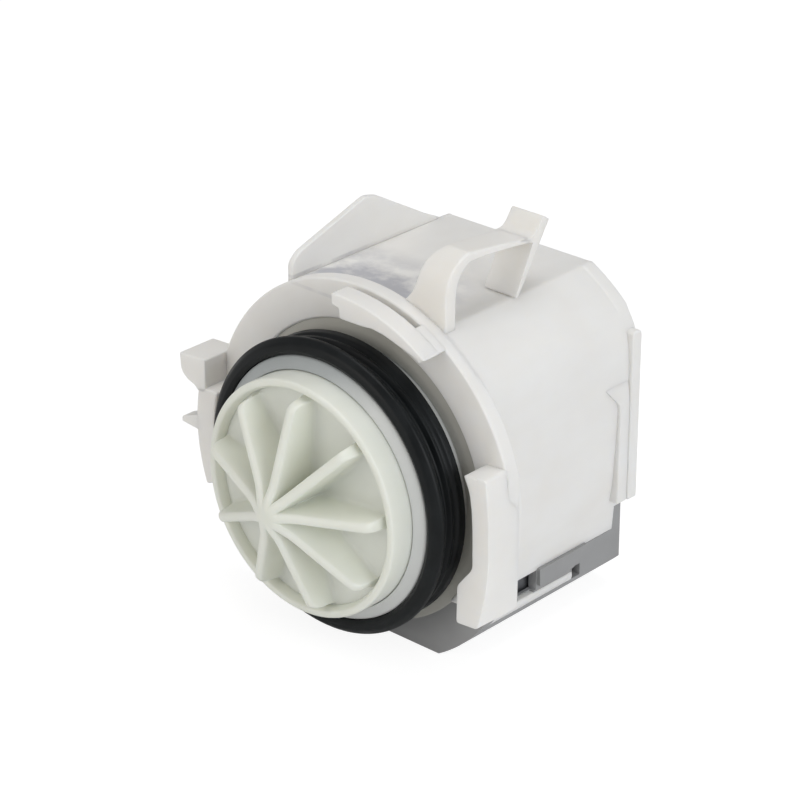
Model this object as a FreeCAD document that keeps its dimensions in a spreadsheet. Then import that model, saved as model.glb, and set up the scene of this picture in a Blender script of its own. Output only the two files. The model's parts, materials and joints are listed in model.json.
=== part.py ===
"""Bayonet drain pump of a dishwasher, in millimetres.

The pump axis runs along Y. The origin is on that axis, in the front face of the bayonet collar.
The impeller points to -Y, the motor housing lies on +Y, and the pump rests on its base with +Z up.
"""
import FreeCAD, Part
import Sketcher
import math
import os
import sys
from types import SimpleNamespace

doc = FreeCAD.newDocument("DrainPump")
sheet = doc.addObject("Spreadsheet::Sheet", "Sizes")

# Driving dimensions. Reaches and drops are distances from the pump axis, setbacks are distances
# behind the collar's front face, and leads are distances ahead of it.
driving_sizes = {
    # clearances
    "running_gap": 0.05,
    "seat_gap": 0.1,
    "moving_gap": 0.3,
    # collar and motor housing
    "collar_radius": 39.7,
    "collar_thickness": 3.5,
    "body_length": 47.8,
    "body_wall": 2.2,
    "front_wall_setback": 5.3,
    "top_reach": 35.0,
    "side_reach": 31.2,
    "shoulder_drop": 9.2,
    "split_drop": 20.7,
    "split_inset": 3.0,
    "base_drop": 34.0,
    # rims at the rear of the housing, and how far they stand off its side
    "rim_proud": 1.1,
    "rim_width": 2.8,
    "rim_top": 24.1,
    "rim_drop": 13.0,
    "strip_proud": 0.7,
    "strip_width": 3.2,
    "strip_top": 10.2,
    "strip_drop": 12.8,
    "strip_hook_width": 4.9,
    "strip_hook_height": 4.4,
    "rim_groove": 0.5,
    # bayonet lugs, their thickness measured inwards from the collar's edge
    "lug_lead": 6.2,
    "lug_flat_inset": 1.4,
    "right_lug_thickness": 5.1,
    "lug_foot_thickness": 8.7,
    "lug_top": 12.8,
    "lug_step_drop": 12.5,
    "lug_drop": 20.0,
    "left_lug_thickness": 2.8,
    "left_lug_start": 149.0,
    "left_lug_end": 200.0,
    "tooth_proud": 4.6,
    "tooth_top": 14.0,
    "tooth_bottom": 8.0,
    "spike_proud": 5.0,
    "spike_top": 1.5,
    "spike_drop": 2.3,
    "top_lug_thickness": 4.5,
    "top_lug_start": 55.0,
    "top_lug_end": 92.0,
    "top_lug_root_end": 66.0,
    "top_lug_plate": 4.0,
    # fin on the top left, its heights measured above the body's top
    "fin_inset": 10.2,
    "fin_thickness": 2.3,
    "fin_front": 2.0,
    "fin_front_height": 3.0,
    "fin_nose_setback": 3.4,
    "fin_nose_height": 5.4,
    "fin_peak_setback": 24.6,
    "fin_peak_height": 10.8,
    "fin_tail_setback": 42.6,
    "fin_tail_height": 1.1,
    "fin_root": 3.0,
    # side recess
    "recess_front": 10.6,
    "recess_rear": 14.3,
    "recess_top": 0.6,
    "recess_bottom": 5.3,
    "recess_depth": 0.8,
    # release latch, its heights measured above the body's top
    "latch_left": 13.0,
    "latch_width": 6.8,
    "leg_setback": 2.9,
    "leg_thickness": 3.0,
    "pivot_height": 2.8,
    "foot_root": 2.0,
    "beam_height": 15.1,
    "beam_fall": 0.15,
    "beam_thickness": 1.6,
    "bend_outer_radius": 8.0,
    "bend_inner_radius": 5.8,
    "hook_setback": 23.5,
    "hook_height": 0.6,
    "hook_lean": 0.505,
    "hook_foot_thickness": 0.9,
    "tab_thickness": 2.4,
    "tab_height": 15.1,
    "tab_fall": 1.2,
    # grey base
    "base_front": 0.7,
    "base_wall": 2.0,
    "clip_front": 20.4,
    "clip_length": 14.8,
    "clip_taper": 1.9,
    "clip_height": 4.8,
    "clip_proud": 1.2,
    "tongue_shift": 1.0,
    "tongue_half_width": 8.0,
    "tongue_height": 2.7,
    "tongue_thickness": 1.2,
    "slot_length": 4.9,
    "slot_depth": 1.2,
    "upright_width": 3.6,
    "upright_height": 6.0,
    # strap of the housing that catches under the base's clip
    "strap_height": 1.5,
    "strap_thickness": 1.5,
    "strap_root_width": 3.0,
    "strap_length": 29.5,
    # connector in the base's rear
    "socket_reach": 11.0,
    "socket_length": 10.2,
    "socket_height": 10.0,
    "socket_lift": 2.6,
    "socket_wall": 1.4,
    "socket_floor": 1.6,
    "blade_pitch": 6.0,
    "blade_thickness": 0.8,
    "blade_height": 4.8,
    "blade_setback": 1.6,
    "blade_tail": 0.8,
    # rotor can with pump neck
    "neck_radius": 27.4,
    "neck_wall": 1.8,
    "neck_lead": 10.8,
    "band_proud": 3.4,
    "band_setback": 0.8,
    "band_thickness": 2.2,
    "ledge_width": 2.8,
    "can_radius": 13.0,
    "can_wall": 1.2,
    "can_length": 38.6,
    # seal, and how far its sleeve, ribs and lips stand off the neck
    "seal_lead": 11.4,
    "seal_thickness": 1.3,
    "front_lip_proud": 3.4,
    "front_lip_width": 2.0,
    "lip_bevel": 0.65,
    "lip_slope": 1.3,
    "middle_rib_proud": 2.1,
    "rib_half_width": 0.65,
    "rear_lip_proud": 2.6,
    "rear_lip_lead": 2.2,
    # impeller
    "impeller_gap": 0.95,
    "impeller_wall": 1.85,
    "impeller_lead": 17.3,
    "impeller_back_lead": 8.2,
    "impeller_floor_lead": 15.7,
    "impeller_floor_thickness": 2.0,
    "rim_bevel": 0.45,
    "back_bevel": 0.9,
    "bowl_width": 1.2,
    "bowl_rise": 0.7,
    "hub_lead": 27.2,
    "hub_radius": 4.2,
    "hub_shoulder_lead": 25.6,
    "hub_tip_radius": 2.1,
    "hub_tip_height": 0.45,
    "vane_thickness": 2.2,
    "vane_end_inset": 1.2,
    "vane_end_lead": 19.0,
    "vane_end_chamfer": 1.2,
    "vane_root_lead": 25.8,
    "vane_phase": 5.0,
    "vane_count": 9,
    # shaft, bearings and magnet
    "shaft_radius": 1.5,
    "shaft_lead": 22.0,
    "bush_radius": 4.0,
    "bush_length": 5.0,
    "damper_thickness": 2.0,
    "holder_plate": 2.4,
    "gasket_radius": 0.9,
    "washer_radius": 3.4,
    "washer_thickness": 0.6,
    "dog_hub_radius": 3.2,
    "dog_radius": 7.9,
    "dog_length": 4.0,
    "dog_angle": 60.0,
    "sleeve_head_radius": 9.8,
    "sleeve_head_wall": 1.5,
    "sleeve_radius": 5.0,
    "magnet_radius": 10.8,
    # stator
    "core_gap": 0.6,
    "stack_front": 11.0,
    "stack_length": 20.0,
    "yoke_height": 6.4,
    "limb_width": 6.0,
    "window_corner": 3.5,
    "pole_reach": 8.0,
    "shoe_thickness": 3.2,
    "shoe_reach": 12.4,
    "bobbin_wall": 1.0,
    "bobbin_flange_reach": 15.5,
    "bobbin_overhang": 5.2,
    "coil_margin": 0.6,
    "rivet_radius": 1.2,
    "rivet_inset": 5.8,
    "rivet_top": 17.0,
    "rivet_drop": 13.5,
    "rivet_head_radius": 2.1,
    "rivet_head": 0.8,
    "fuse_radius": 1.8,
    "fuse_length": 11.0,
}

for row, (alias, number) in enumerate(driving_sizes.items(), start=1):
    sheet.set(f"A{row}", alias)
    sheet.set(f"B{row}", str(number))
    sheet.setAlias(f"B{row}", alias)
doc.recompute()


class Term:
    """A length, count or angle that knows its value and its formula on the sheet."""

    def __init__(self, value, formula):
        self.value = value
        self.formula = formula

    def joined(self, sign, other, value):
        return Term(value, f"({self.formula} {sign} {other.formula})")

    def __add__(self, other):
        other = as_term(other)
        return self.joined("+", other, self.value + other.value)

    def __sub__(self, other):
        other = as_term(other)
        return self.joined("-", other, self.value - other.value)

    def __mul__(self, other):
        other = as_term(other)
        return self.joined("*", other, self.value * other.value)

    def __truediv__(self, other):
        other = as_term(other)
        return self.joined("/", other, self.value / other.value)

    def __radd__(self, other):
        return as_term(other) + self

    def __rsub__(self, other):
        return as_term(other) - self

    def __rmul__(self, other):
        return as_term(other) * self

    def __neg__(self):
        return as_term(0) - self


def as_term(thing):
    if isinstance(thing, Term):
        return thing
    return Term(thing, repr(thing))


d = SimpleNamespace(**{
    alias: Term(float(sheet.get(alias)), f"Sizes.{alias}") for alias in driving_sizes
})


def bind(thing, **formulas):
    for name, term in formulas.items():
        thing.setExpression(name, as_term(term).formula)


def set_base(thing, x=0, y=0, z=0):
    """Binds the three coordinates of an object's placement."""
    for axis, term in (("x", x), ("y", y), ("z", z)):
        thing.setExpression(f"Placement.Base.{axis}", as_term(term).formula)


def along(axis, turn=0):
    """Rotation that lays a cylinder's own Z along the given axis."""
    spin = FreeCAD.Rotation(FreeCAD.Vector(0, 0, 1), turn)
    if axis == "X":
        return FreeCAD.Rotation(FreeCAD.Vector(0, 1, 0), 90) * spin
    if axis == "Y":
        return FreeCAD.Rotation(FreeCAD.Vector(1, 0, 0), 90) * spin
    return spin


# Primitives. Round bars along Y are drawn back from their rear end, so that their own X stays X.


def box(name, x_span, y_span, z_span):
    solid = doc.addObject("Part::Box", name)
    bind(
        solid,
        Length=as_term(x_span[1]) - x_span[0],
        Width=as_term(y_span[1]) - y_span[0],
        Height=as_term(z_span[1]) - z_span[0],
    )
    set_base(solid, x_span[0], y_span[0], z_span[0])
    return solid


def bar_y(name, radius, y_span, x=0, z=0):
    solid = doc.addObject("Part::Cylinder", name)
    solid.Placement = FreeCAD.Placement(FreeCAD.Vector(), along("Y"))
    bind(solid, Radius=radius, Height=as_term(y_span[1]) - y_span[0])
    set_base(solid, x, y_span[1], z)
    return solid


def bar_x(name, radius, x_span, y=0, z=0):
    solid = doc.addObject("Part::Cylinder", name)
    solid.Placement = FreeCAD.Placement(FreeCAD.Vector(), along("X"))
    bind(solid, Radius=radius, Height=as_term(x_span[1]) - x_span[0])
    set_base(solid, x_span[0], y, z)
    return solid


def sector_y(name, radius, start, end, y_span):
    """Slice of a round bar, its angles counted from +X towards +Z."""
    solid = bar_y(name, radius, y_span)
    solid.Placement = FreeCAD.Placement(FreeCAD.Vector(), along("Y", as_term(start).value))
    bind(solid, Angle=as_term(end) - start)
    set_base(solid, 0, y_span[1], 0)
    return solid


def tube_y(name, radius, bore, y_span, x=0, z=0):
    return cut(name, bar_y(f"{name}_outer", radius, y_span, x, z), bar_y(f"{name}_bore", bore, y_span, x, z))


def fuse(name, *shapes):
    joined = doc.addObject("Part::MultiFuse", name)
    joined.Shapes = list(shapes)
    return joined


def cut(name, base, *tools):
    trimmed = doc.addObject("Part::Cut", name)
    trimmed.Base = base
    trimmed.Tool = tools[0] if len(tools) == 1 else fuse(f"{name}_tools", *tools)
    return trimmed


def common(name, first, second):
    shared = doc.addObject("Part::MultiCommon", name)
    shared.Shapes = [first, second]
    return shared


def mirrored_x(name, source):
    copy = doc.addObject("Part::Mirroring", name)
    copy.Source = source
    copy.Normal = (1, 0, 0)
    return copy


# Sketched bodies. Each corner of an outline is held by its two coordinates.


def origin_plane(body, role):
    return next(item for item in body.Origin.OriginFeatures if item.Role == role)


def outline(body, plane, points, level=0):
    sketch = body.newObject("Sketcher::SketchObject", f"{body.Name}_outline")
    sketch.AttachmentSupport = [(origin_plane(body, plane), "")]
    sketch.MapMode = "FlatFace"
    sketch.setExpression("AttachmentOffset.Base.z", as_term(level).formula)
    terms = [(as_term(u), as_term(v)) for u, v in points]
    corners = [FreeCAD.Vector(u.value, v.value, 0) for u, v in terms]
    for start, end in zip(corners, corners[1:] + corners[:1]):
        sketch.addGeometry(Part.LineSegment(start, end), False)
    for index in range(len(corners)):
        following = (index + 1) % len(corners)
        sketch.addConstraint(Sketcher.Constraint("Coincident", index, 2, following, 1))
    for index, corner in enumerate(terms):
        for kind, term in zip(("DistanceX", "DistanceY"), corner):
            number = sketch.addConstraint(Sketcher.Constraint(kind, -1, 1, index, 1, term.value))
            sketch.setExpression(f"Constraints[{number}]", term.formula)
    return sketch


def turned(name, points):
    """Solid of revolution about the pump axis, from (radius, y) corners."""
    body = doc.addObject("PartDesign::Body", name)
    sketch = outline(body, "XY_Plane", points)
    spin = body.newObject("PartDesign::Revolution", f"{name}_turn")
    spin.Profile = sketch
    spin.ReferenceAxis = (sketch, ["V_Axis"])
    spin.Angle = 360
    body.Tip = spin
    return body


def prism(name, plane, points, level, length):
    body = doc.addObject("PartDesign::Body", name)
    sketch = outline(body, plane, points, level)
    pad = body.newObject("PartDesign::Pad", f"{name}_pad")
    pad.Profile = sketch
    bind(pad, Length=length)
    body.Tip = pad
    return body


def prism_y(name, points, y_span):
    """Pad of an (x, z) outline; the XZ plane faces -Y, so it starts at the rear end."""
    return prism(name, "XZ_Plane", points, -as_term(y_span[1]), as_term(y_span[1]) - y_span[0])


def prism_x(name, points, x_span):
    """Pad of a (y, z) outline."""
    return prism(name, "YZ_Plane", points, as_term(x_span[0]), as_term(x_span[1]) - x_span[0])


def round_corner(body, corner, radius):
    """Fillets the edge of a prism along X that runs through a (y, z) corner."""
    doc.recompute()
    where = FreeCAD.Vector(0, as_term(corner[0]).value, as_term(corner[1]).value)

    def on_corner(vertex):
        return math.hypot(vertex.Y - where.y, vertex.Z - where.z) < 1e-4

    edges = [
        f"Edge{number}"
        for number, edge in enumerate(body.Tip.Shape.Edges, start=1)
        if all(on_corner(vertex) for vertex in edge.Vertexes)
    ]
    base = body.Tip
    fillet = body.newObject("PartDesign::Fillet", f"{body.Name}_bend")
    fillet.Base = (base, edges)
    bind(fillet, Radius=radius)
    body.Tip = fillet


pieces = []


def keep(solid, label):
    """Makes an object one of the pump's sub-parts."""
    solid.Label = label
    pieces.append(solid)
    return solid


# Shared places
full_width = (-d.collar_radius, d.collar_radius)
split_reach = d.side_reach - d.split_inset
rim_reach = d.side_reach + d.rim_proud
lug_flat_reach = d.collar_radius - d.lug_flat_inset
latch_right = d.latch_left + d.latch_width
pivot_rise = d.top_reach + d.pivot_height
clip_drop = d.split_drop + d.clip_height
clip_rear = d.clip_front + d.clip_length
tongue_top_drop = d.split_drop - d.tongue_height
socket_front = d.body_length - d.socket_length
socket_bottom_drop = d.base_drop - d.socket_lift
socket_top_drop = socket_bottom_drop - d.socket_height
band_radius = d.neck_radius + d.band_proud
passage_radius = band_radius - d.ledge_width
can_seat = d.band_setback + d.band_thickness
can_mouth = d.neck_radius - d.neck_wall
can_bore = d.can_radius - d.can_wall
bush_bore = d.shaft_radius + d.running_gap
damper_radius = d.bush_radius + d.seat_gap + d.damper_thickness
can_floor = d.can_length - d.can_wall
rear_bush_end = can_floor - d.moving_gap
rear_bush_start = rear_bush_end - d.bush_length
holder_back = d.band_setback - d.seat_gap
front_bush_end = holder_back
front_bush_start = front_bush_end - d.bush_length
front_washer_start = front_bush_end + d.moving_gap
front_washer_end = front_washer_start + d.washer_thickness
dog_start = front_washer_end + d.seat_gap
dog_end = dog_start + d.dog_length
stack_rear = d.stack_front + d.stack_length
yoke_top = d.top_reach - d.body_wall - d.core_gap
yoke_drop = d.base_drop - d.base_wall - d.core_gap
stator_bore = d.can_radius + d.moving_gap
pivot_y = d.leg_setback + d.leg_thickness / 2
knuckle_radius = d.leg_thickness / 2


# Motor housing


def body_section(inset, bottom):
    """Outline of the motor body across the pump axis, drawn in by a wall."""
    side = d.side_reach - inset
    lower = split_reach - inset
    top = d.top_reach - inset
    return [
        (side, top), (-side, top), (-side, -d.shoulder_drop), (-lower, -d.split_drop), (-lower, -bottom),
        (lower, -bottom), (lower, -d.split_drop), (side, -d.shoulder_drop),
    ]


def split_section():
    """Outline of the motor body above the split line of the base."""
    corners = body_section(as_term(0), d.split_drop)
    return corners[:4] + corners[6:]


def housing_shell():
    body_span = (0, d.body_length)
    outside = common(
        "body_outside",
        bar_y("body_round", d.collar_radius, body_span),
        prism_y("body_sides", split_section(), body_span),
    )
    collar_span = (0, d.collar_thickness)
    collar = common(
        "collar",
        bar_y("collar_disc", d.collar_radius, collar_span),
        box("collar_part", full_width, collar_span, (-d.split_drop, d.collar_radius)),
    )
    return [outside, collar]


def right_lug(name):
    """Bayonet lug beside the pump neck, with its thicker foot."""
    span = (-d.lug_lead, d.collar_thickness)
    across = (d.collar_radius - d.lug_foot_thickness, lug_flat_reach)
    arch = cut(
        f"{name}_arch",
        box(f"{name}_arch_block", across, span, (-d.lug_step_drop, d.lug_top)),
        bar_y(f"{name}_arch_bore", d.collar_radius - d.right_lug_thickness, span),
    )
    foot = box(f"{name}_foot", across, span, (-d.lug_drop, -d.lug_step_drop))
    return common(name, fuse(f"{name}_blocks", arch, foot), bar_y(f"{name}_round", d.collar_radius, span))


def left_lug(name):
    """Thin bayonet lug with a square tooth and a small spike outside it."""
    span = (-d.lug_lead, d.collar_thickness)
    inner_radius = d.collar_radius - d.left_lug_thickness
    middle = d.collar_radius - d.left_lug_thickness / 2
    arch = cut(
        f"{name}_arch",
        sector_y(f"{name}_sector", d.collar_radius, d.left_lug_start, d.left_lug_end, span),
        bar_y(f"{name}_bore", inner_radius, span),
    )
    tooth = box(
        f"{name}_tooth", (-d.collar_radius - d.tooth_proud, -inner_radius),
        span, (d.tooth_bottom, d.tooth_top),
    )
    spike = prism_y(
        f"{name}_spike",
        [
            (-middle, d.spike_top), (-middle, -d.spike_drop),
            (-d.collar_radius - d.spike_proud, (d.spike_top - d.spike_drop * 2) / 3),
        ],
        (-d.lug_lead, d.collar_thickness - d.lug_lead),
    )
    return [arch, tooth, spike]


def top_lug(name):
    """Bayonet lug over the pump neck; a slot parts its plate from the collar."""
    inner_radius = d.collar_radius - d.top_lug_thickness
    plate_span = (-d.lug_lead, d.top_lug_plate - d.lug_lead)
    plate = cut(
        f"{name}_plate",
        sector_y(f"{name}_plate_sector", d.collar_radius, d.top_lug_start, d.top_lug_end, plate_span),
        bar_y(f"{name}_plate_bore", inner_radius, plate_span),
    )
    root_span = (-d.lug_lead, d.collar_thickness)
    link = cut(
        f"{name}_root",
        sector_y(f"{name}_root_sector", d.collar_radius, d.top_lug_start, d.top_lug_root_end, root_span),
        bar_y(f"{name}_root_bore", inner_radius, root_span),
    )
    return [plate, link]


def fin():
    """Upright fin along the top left of the body."""
    left = d.fin_inset - d.side_reach
    bottom = d.top_reach - d.fin_root
    return prism_x(
        "fin",
        [
            (d.fin_front, bottom), (d.fin_front, d.top_reach + d.fin_front_height),
            (d.fin_nose_setback, d.top_reach + d.fin_nose_height),
            (d.fin_peak_setback, d.top_reach + d.fin_peak_height),
            (d.fin_tail_setback, d.top_reach + d.fin_tail_height),
            (d.body_length, d.top_reach), (d.body_length, bottom),
        ],
        (left, left + d.fin_thickness),
    )


def rear_rims():
    """Raised bands at the rear of both sides, parted by a shallow groove."""
    rim_front = d.body_length - d.rim_width
    strip_front = rim_front - d.strip_width
    inside = split_reach - d.body_wall
    rim = box("rim", (inside, rim_reach), (rim_front, d.body_length), (-d.rim_drop, d.rim_top))
    strip_rear = rim_front - d.rim_groove
    hook_top = d.strip_top + d.strip_hook_height
    strip = prism_x(
        "strip",
        [
            (strip_front, -d.strip_drop), (strip_front, d.strip_top),
            (strip_front - d.strip_hook_width, hook_top), (strip_rear, hook_top),
            (strip_rear, -d.strip_drop),
        ],
        (inside, d.side_reach + d.strip_proud),
    )
    side = fuse("rear_rim", rim, strip)
    return [side, mirrored_x("rear_rim_left", side)]


def latch_foot():
    """Block on the roof, against the collar, in which the release latch is rooted."""
    return box(
        "latch_foot",
        (d.latch_left, latch_right),
        (d.leg_setback, d.leg_setback + d.leg_thickness),
        (d.top_reach - d.foot_root, pivot_rise),
    )


def clip_arch(name, reach, gap):
    """Bar whose upper side is the arch over the clip, drawn in by a gap."""
    radius = (d.tongue_half_width * d.tongue_half_width / d.tongue_height + d.tongue_height) / 2
    centre = d.clip_front + d.clip_length / 2 + d.tongue_shift
    return bar_x(name, radius - gap, reach, centre, -tongue_top_drop - radius)


def strap(name, gap):
    """Springy strap beside the base: a root on the collar and a bar that passes under the clip."""
    across = (split_reach - d.strap_thickness - gap, split_reach + gap)
    top = -clip_drop - d.seat_gap
    bottom = top - d.strap_height
    root = box(
        f"{name}_root", across,
        (d.collar_thickness - d.strap_root_width / 2, d.collar_thickness + d.strap_root_width / 2 + gap),
        (bottom - gap, -d.split_drop),
    )
    bar = box(
        f"{name}_bar", across,
        (d.collar_thickness, d.collar_thickness + d.strap_length + gap), (bottom - gap, top + gap),
    )
    return fuse(name, root, bar)


def make_housing():
    shell = housing_shell()
    lugs = [right_lug("right_lug")] + left_lug("left_lug") + top_lug("top_lug")
    outside = fuse("housing_outside", *shell, *lugs, fin(), *rear_rims(), latch_foot())
    inside_span = (d.front_wall_setback, d.body_length - d.body_wall)
    inside = common(
        "housing_inside",
        bar_y("inside_round", d.collar_radius - d.body_wall, inside_span),
        prism_y("inside_sides", body_section(d.body_wall, d.base_drop), inside_span),
    )
    flange_seat = bar_y("flange_seat", band_radius + d.seat_gap * 2, (-d.lug_lead, can_seat + d.seat_gap))
    passage = bar_y("can_passage", passage_radius, (0, d.front_wall_setback))
    groove = bar_x(
        "latch_groove", knuckle_radius + d.seat_gap,
        (d.latch_left - d.seat_gap, latch_right + d.seat_gap), pivot_y, pivot_rise,
    )
    arch = clip_arch("clip_arch", (-d.side_reach, d.side_reach), 0)
    recess = box(
        "side_recess", (d.side_reach - d.recess_depth, d.side_reach),
        (d.recess_front, d.recess_rear), (-d.recess_bottom, -d.recess_top),
    )
    below_span = (d.collar_thickness, d.body_length)
    below = box("below_split", (-d.side_reach, d.side_reach), below_span, (-d.base_drop, -d.split_drop))
    notch = upright("upright_notch", rim_reach, d.seat_gap)
    housing = cut(
        "housing_body", outside, inside, flange_seat, passage, groove, arch, recess, below,
        notch, mirrored_x("upright_notch_left", notch),
    )
    right_strap = strap("strap", as_term(0))
    keep(fuse("housing", housing, right_strap, mirrored_x("strap_left", right_strap)), "motor_housing")


def upright(name, reach, gap):
    """Rear corner of the base that stands up behind the housing's side."""
    return box(
        name,
        (split_reach - d.base_wall - gap, reach),
        (d.body_length - d.upright_width - gap, d.body_length),
        (-d.split_drop - d.base_wall, d.upright_height - d.split_drop + gap),
    )


# Release latch


def make_latch():
    """Springy arm: a leg, a beam that falls gently to the rear, and a leaning hook plate with tab."""
    leg_front = d.leg_setback
    leg_back = d.leg_setback + d.leg_thickness
    beam_rise = d.top_reach + d.beam_height
    hook_rise = d.top_reach + d.hook_height
    tab_rise = d.top_reach + d.tab_height

    def beam_top(y):
        return beam_rise - d.beam_fall * (y - leg_front)

    def hook_meets(drop):
        """Where the hook plate's front meets a line that runs a drop below the beam's top."""
        rise = beam_rise - drop + d.beam_fall * leg_front - hook_rise
        y = (d.hook_setback + d.hook_lean * rise) / (1 + d.hook_lean * d.beam_fall)
        return (y, beam_top(y) - drop)

    tab_front = d.hook_setback + d.hook_lean * (tab_rise - hook_rise)
    outer_corner = (leg_front, beam_rise)
    inner_corner = (leg_back, beam_top(leg_back) - d.beam_thickness)
    arm = prism_x(
        "latch_arm",
        [
            (leg_front, pivot_rise), outer_corner, hook_meets(as_term(0)),
            (tab_front, tab_rise), (tab_front + d.tab_thickness, tab_rise - d.tab_fall),
            (d.hook_setback + d.hook_foot_thickness, hook_rise), (d.hook_setback, hook_rise),
            hook_meets(d.beam_thickness), inner_corner, (leg_back, pivot_rise),
        ],
        (d.latch_left, latch_right),
    )
    round_corner(arm, outer_corner, d.bend_outer_radius)
    round_corner(arm, inner_corner, d.bend_inner_radius)
    knuckle = bar_x("latch_knuckle", knuckle_radius, (d.latch_left, latch_right), pivot_y, pivot_rise)
    keep(fuse("latch", arm, knuckle), "release_latch")


# Grey base cover


def make_base():
    split = -d.split_drop - d.seat_gap
    floor = -d.base_drop
    plate_span = (d.base_front, d.collar_thickness)
    plate = common(
        "base_plate",
        bar_y("base_plate_disc", d.collar_radius, plate_span),
        box("base_plate_part", full_width, plate_span, (floor, split)),
    )
    tray_span = (d.base_front, d.body_length)
    tray = common(
        "base_tray",
        bar_y("base_tray_round", d.collar_radius, tray_span),
        box("base_tray_sides", (-split_reach, split_reach), tray_span, (floor, split)),
    )
    inside_span = (d.front_wall_setback, d.body_length - d.base_wall)
    inside_reach = split_reach - d.base_wall
    inside = common(
        "base_inside",
        bar_y("base_inside_round", d.collar_radius - d.base_wall, inside_span),
        box("base_inside_sides", (-inside_reach, inside_reach), inside_span, (floor + d.base_wall, 0)),
    )
    clip = prism_x(
        "base_clip",
        [
            (d.clip_front, split), (clip_rear, split),
            (clip_rear - d.clip_taper, -clip_drop), (d.clip_front + d.clip_taper, -clip_drop),
        ],
        (inside_reach, split_reach + d.clip_proud),
    )
    tongue = common(
        "base_tongue",
        clip_arch("tongue_round", (split_reach - d.tongue_thickness, split_reach), d.seat_gap),
        box("tongue_part", (inside_reach, split_reach), (0, d.body_length), (-clip_drop, 0)),
    )
    side = fuse("base_side", clip, tongue, upright("base_upright", split_reach, as_term(0)))
    slot = box(
        "clip_slot", (split_reach - d.slot_depth, split_reach),
        (d.clip_front - d.slot_length, d.clip_front), (-clip_drop, split),
    )
    seat = bar_y("base_flange_seat", band_radius + d.seat_gap * 2, (0, can_seat + d.seat_gap))
    passage = bar_y("base_can_passage", passage_radius, (0, d.front_wall_setback))
    window = box(
        "socket_window",
        (-d.socket_reach - d.seat_gap, d.socket_reach + d.seat_gap),
        (socket_front, d.body_length),
        (-socket_bottom_drop - d.seat_gap, d.seat_gap - socket_top_drop),
    )
    outside = fuse("base_outside", plate, tray, side, mirrored_x("base_side_left", side))
    strap_bed = strap("strap_bed", d.seat_gap)
    base = cut(
        "base", outside, inside, seat, passage, window,
        slot, mirrored_x("clip_slot_left", slot), strap_bed, mirrored_x("strap_bed_left", strap_bed),
    )
    keep(base, "base_cover")


# Connector


def make_connector():
    cavity_reach = d.socket_reach - d.socket_wall
    cavity_front = socket_front + d.socket_floor
    middle = -(socket_top_drop + socket_bottom_drop) / 2
    shell = box(
        "socket_block", (-d.socket_reach, d.socket_reach),
        (socket_front, d.body_length), (-socket_bottom_drop, -socket_top_drop),
    )
    cavity = box(
        "socket_cavity", (-cavity_reach, cavity_reach), (cavity_front, d.body_length),
        (d.socket_wall - socket_bottom_drop, -socket_top_drop - d.socket_wall),
    )

    def blades(name, gap):
        """Three contact blades, or the holes that they pass through."""
        copies = []
        for number in (-1, 0, 1):
            centre = d.blade_pitch * number
            copies.append(box(
                f"{name}_{number + 2}",
                (centre - d.blade_thickness / 2 - gap, centre + d.blade_thickness / 2 + gap),
                (socket_front - d.blade_tail, d.body_length - d.blade_setback),
                (middle - d.blade_height / 2 - gap, middle + d.blade_height / 2 + gap),
            ))
        return copies

    socket = cut("socket", shell, cavity, *blades("blade_hole", d.seat_gap / 2))
    keep(socket, "connector_socket")
    group = doc.addObject("Part::Compound", "blades")
    group.Links = blades("blade", as_term(0))
    keep(group, "terminal_blades")


# Rotor can with the pump neck


def make_can():
    boss_bore = damper_radius + d.seat_gap
    boss_radius = boss_bore + d.can_wall
    boss_start = rear_bush_start
    can = turned(
        "can",
        [
            (can_mouth, -d.neck_lead), (d.neck_radius, -d.neck_lead),
            (d.neck_radius, d.band_setback), (band_radius, d.band_setback),
            (band_radius, can_seat), (d.can_radius, can_seat),
            (d.can_radius, d.can_length), (0, d.can_length), (0, can_floor),
            (boss_bore, can_floor), (boss_bore, boss_start), (boss_radius, boss_start),
            (boss_radius, can_floor), (can_bore, can_floor),
            (can_bore, d.band_setback), (can_mouth, d.band_setback),
        ],
    )
    keep(can, "rotor_can")


def make_seal():
    """Lip seal: a wide front lip, a thin middle rib and a rear lip on one sleeve."""
    bore = d.neck_radius + d.seat_gap
    root = d.neck_radius + d.seal_thickness
    front_lip = d.neck_radius + d.front_lip_proud
    rear_lip = d.neck_radius + d.rear_lip_proud
    front = -d.seal_lead
    land_front = front + d.lip_bevel
    land_back = land_front + d.front_lip_width
    rear_land = -d.rear_lip_lead
    middle = (land_back + rear_land) / 2
    seal = turned(
        "seal",
        [
            (bore, front), (front_lip - d.lip_bevel, front),
            (front_lip, land_front), (front_lip, land_back),
            (root, land_back + d.lip_slope), (root, middle - d.rib_half_width),
            (d.neck_radius + d.middle_rib_proud, middle), (root, middle + d.rib_half_width),
            (root, rear_land - d.lip_slope), (rear_lip, rear_land),
            (rear_lip, rear_land + d.lip_bevel), (bore, rear_land + d.lip_bevel),
        ],
    )
    keep(seal, "seal_ring")


# Bearing holder behind the impeller


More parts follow.
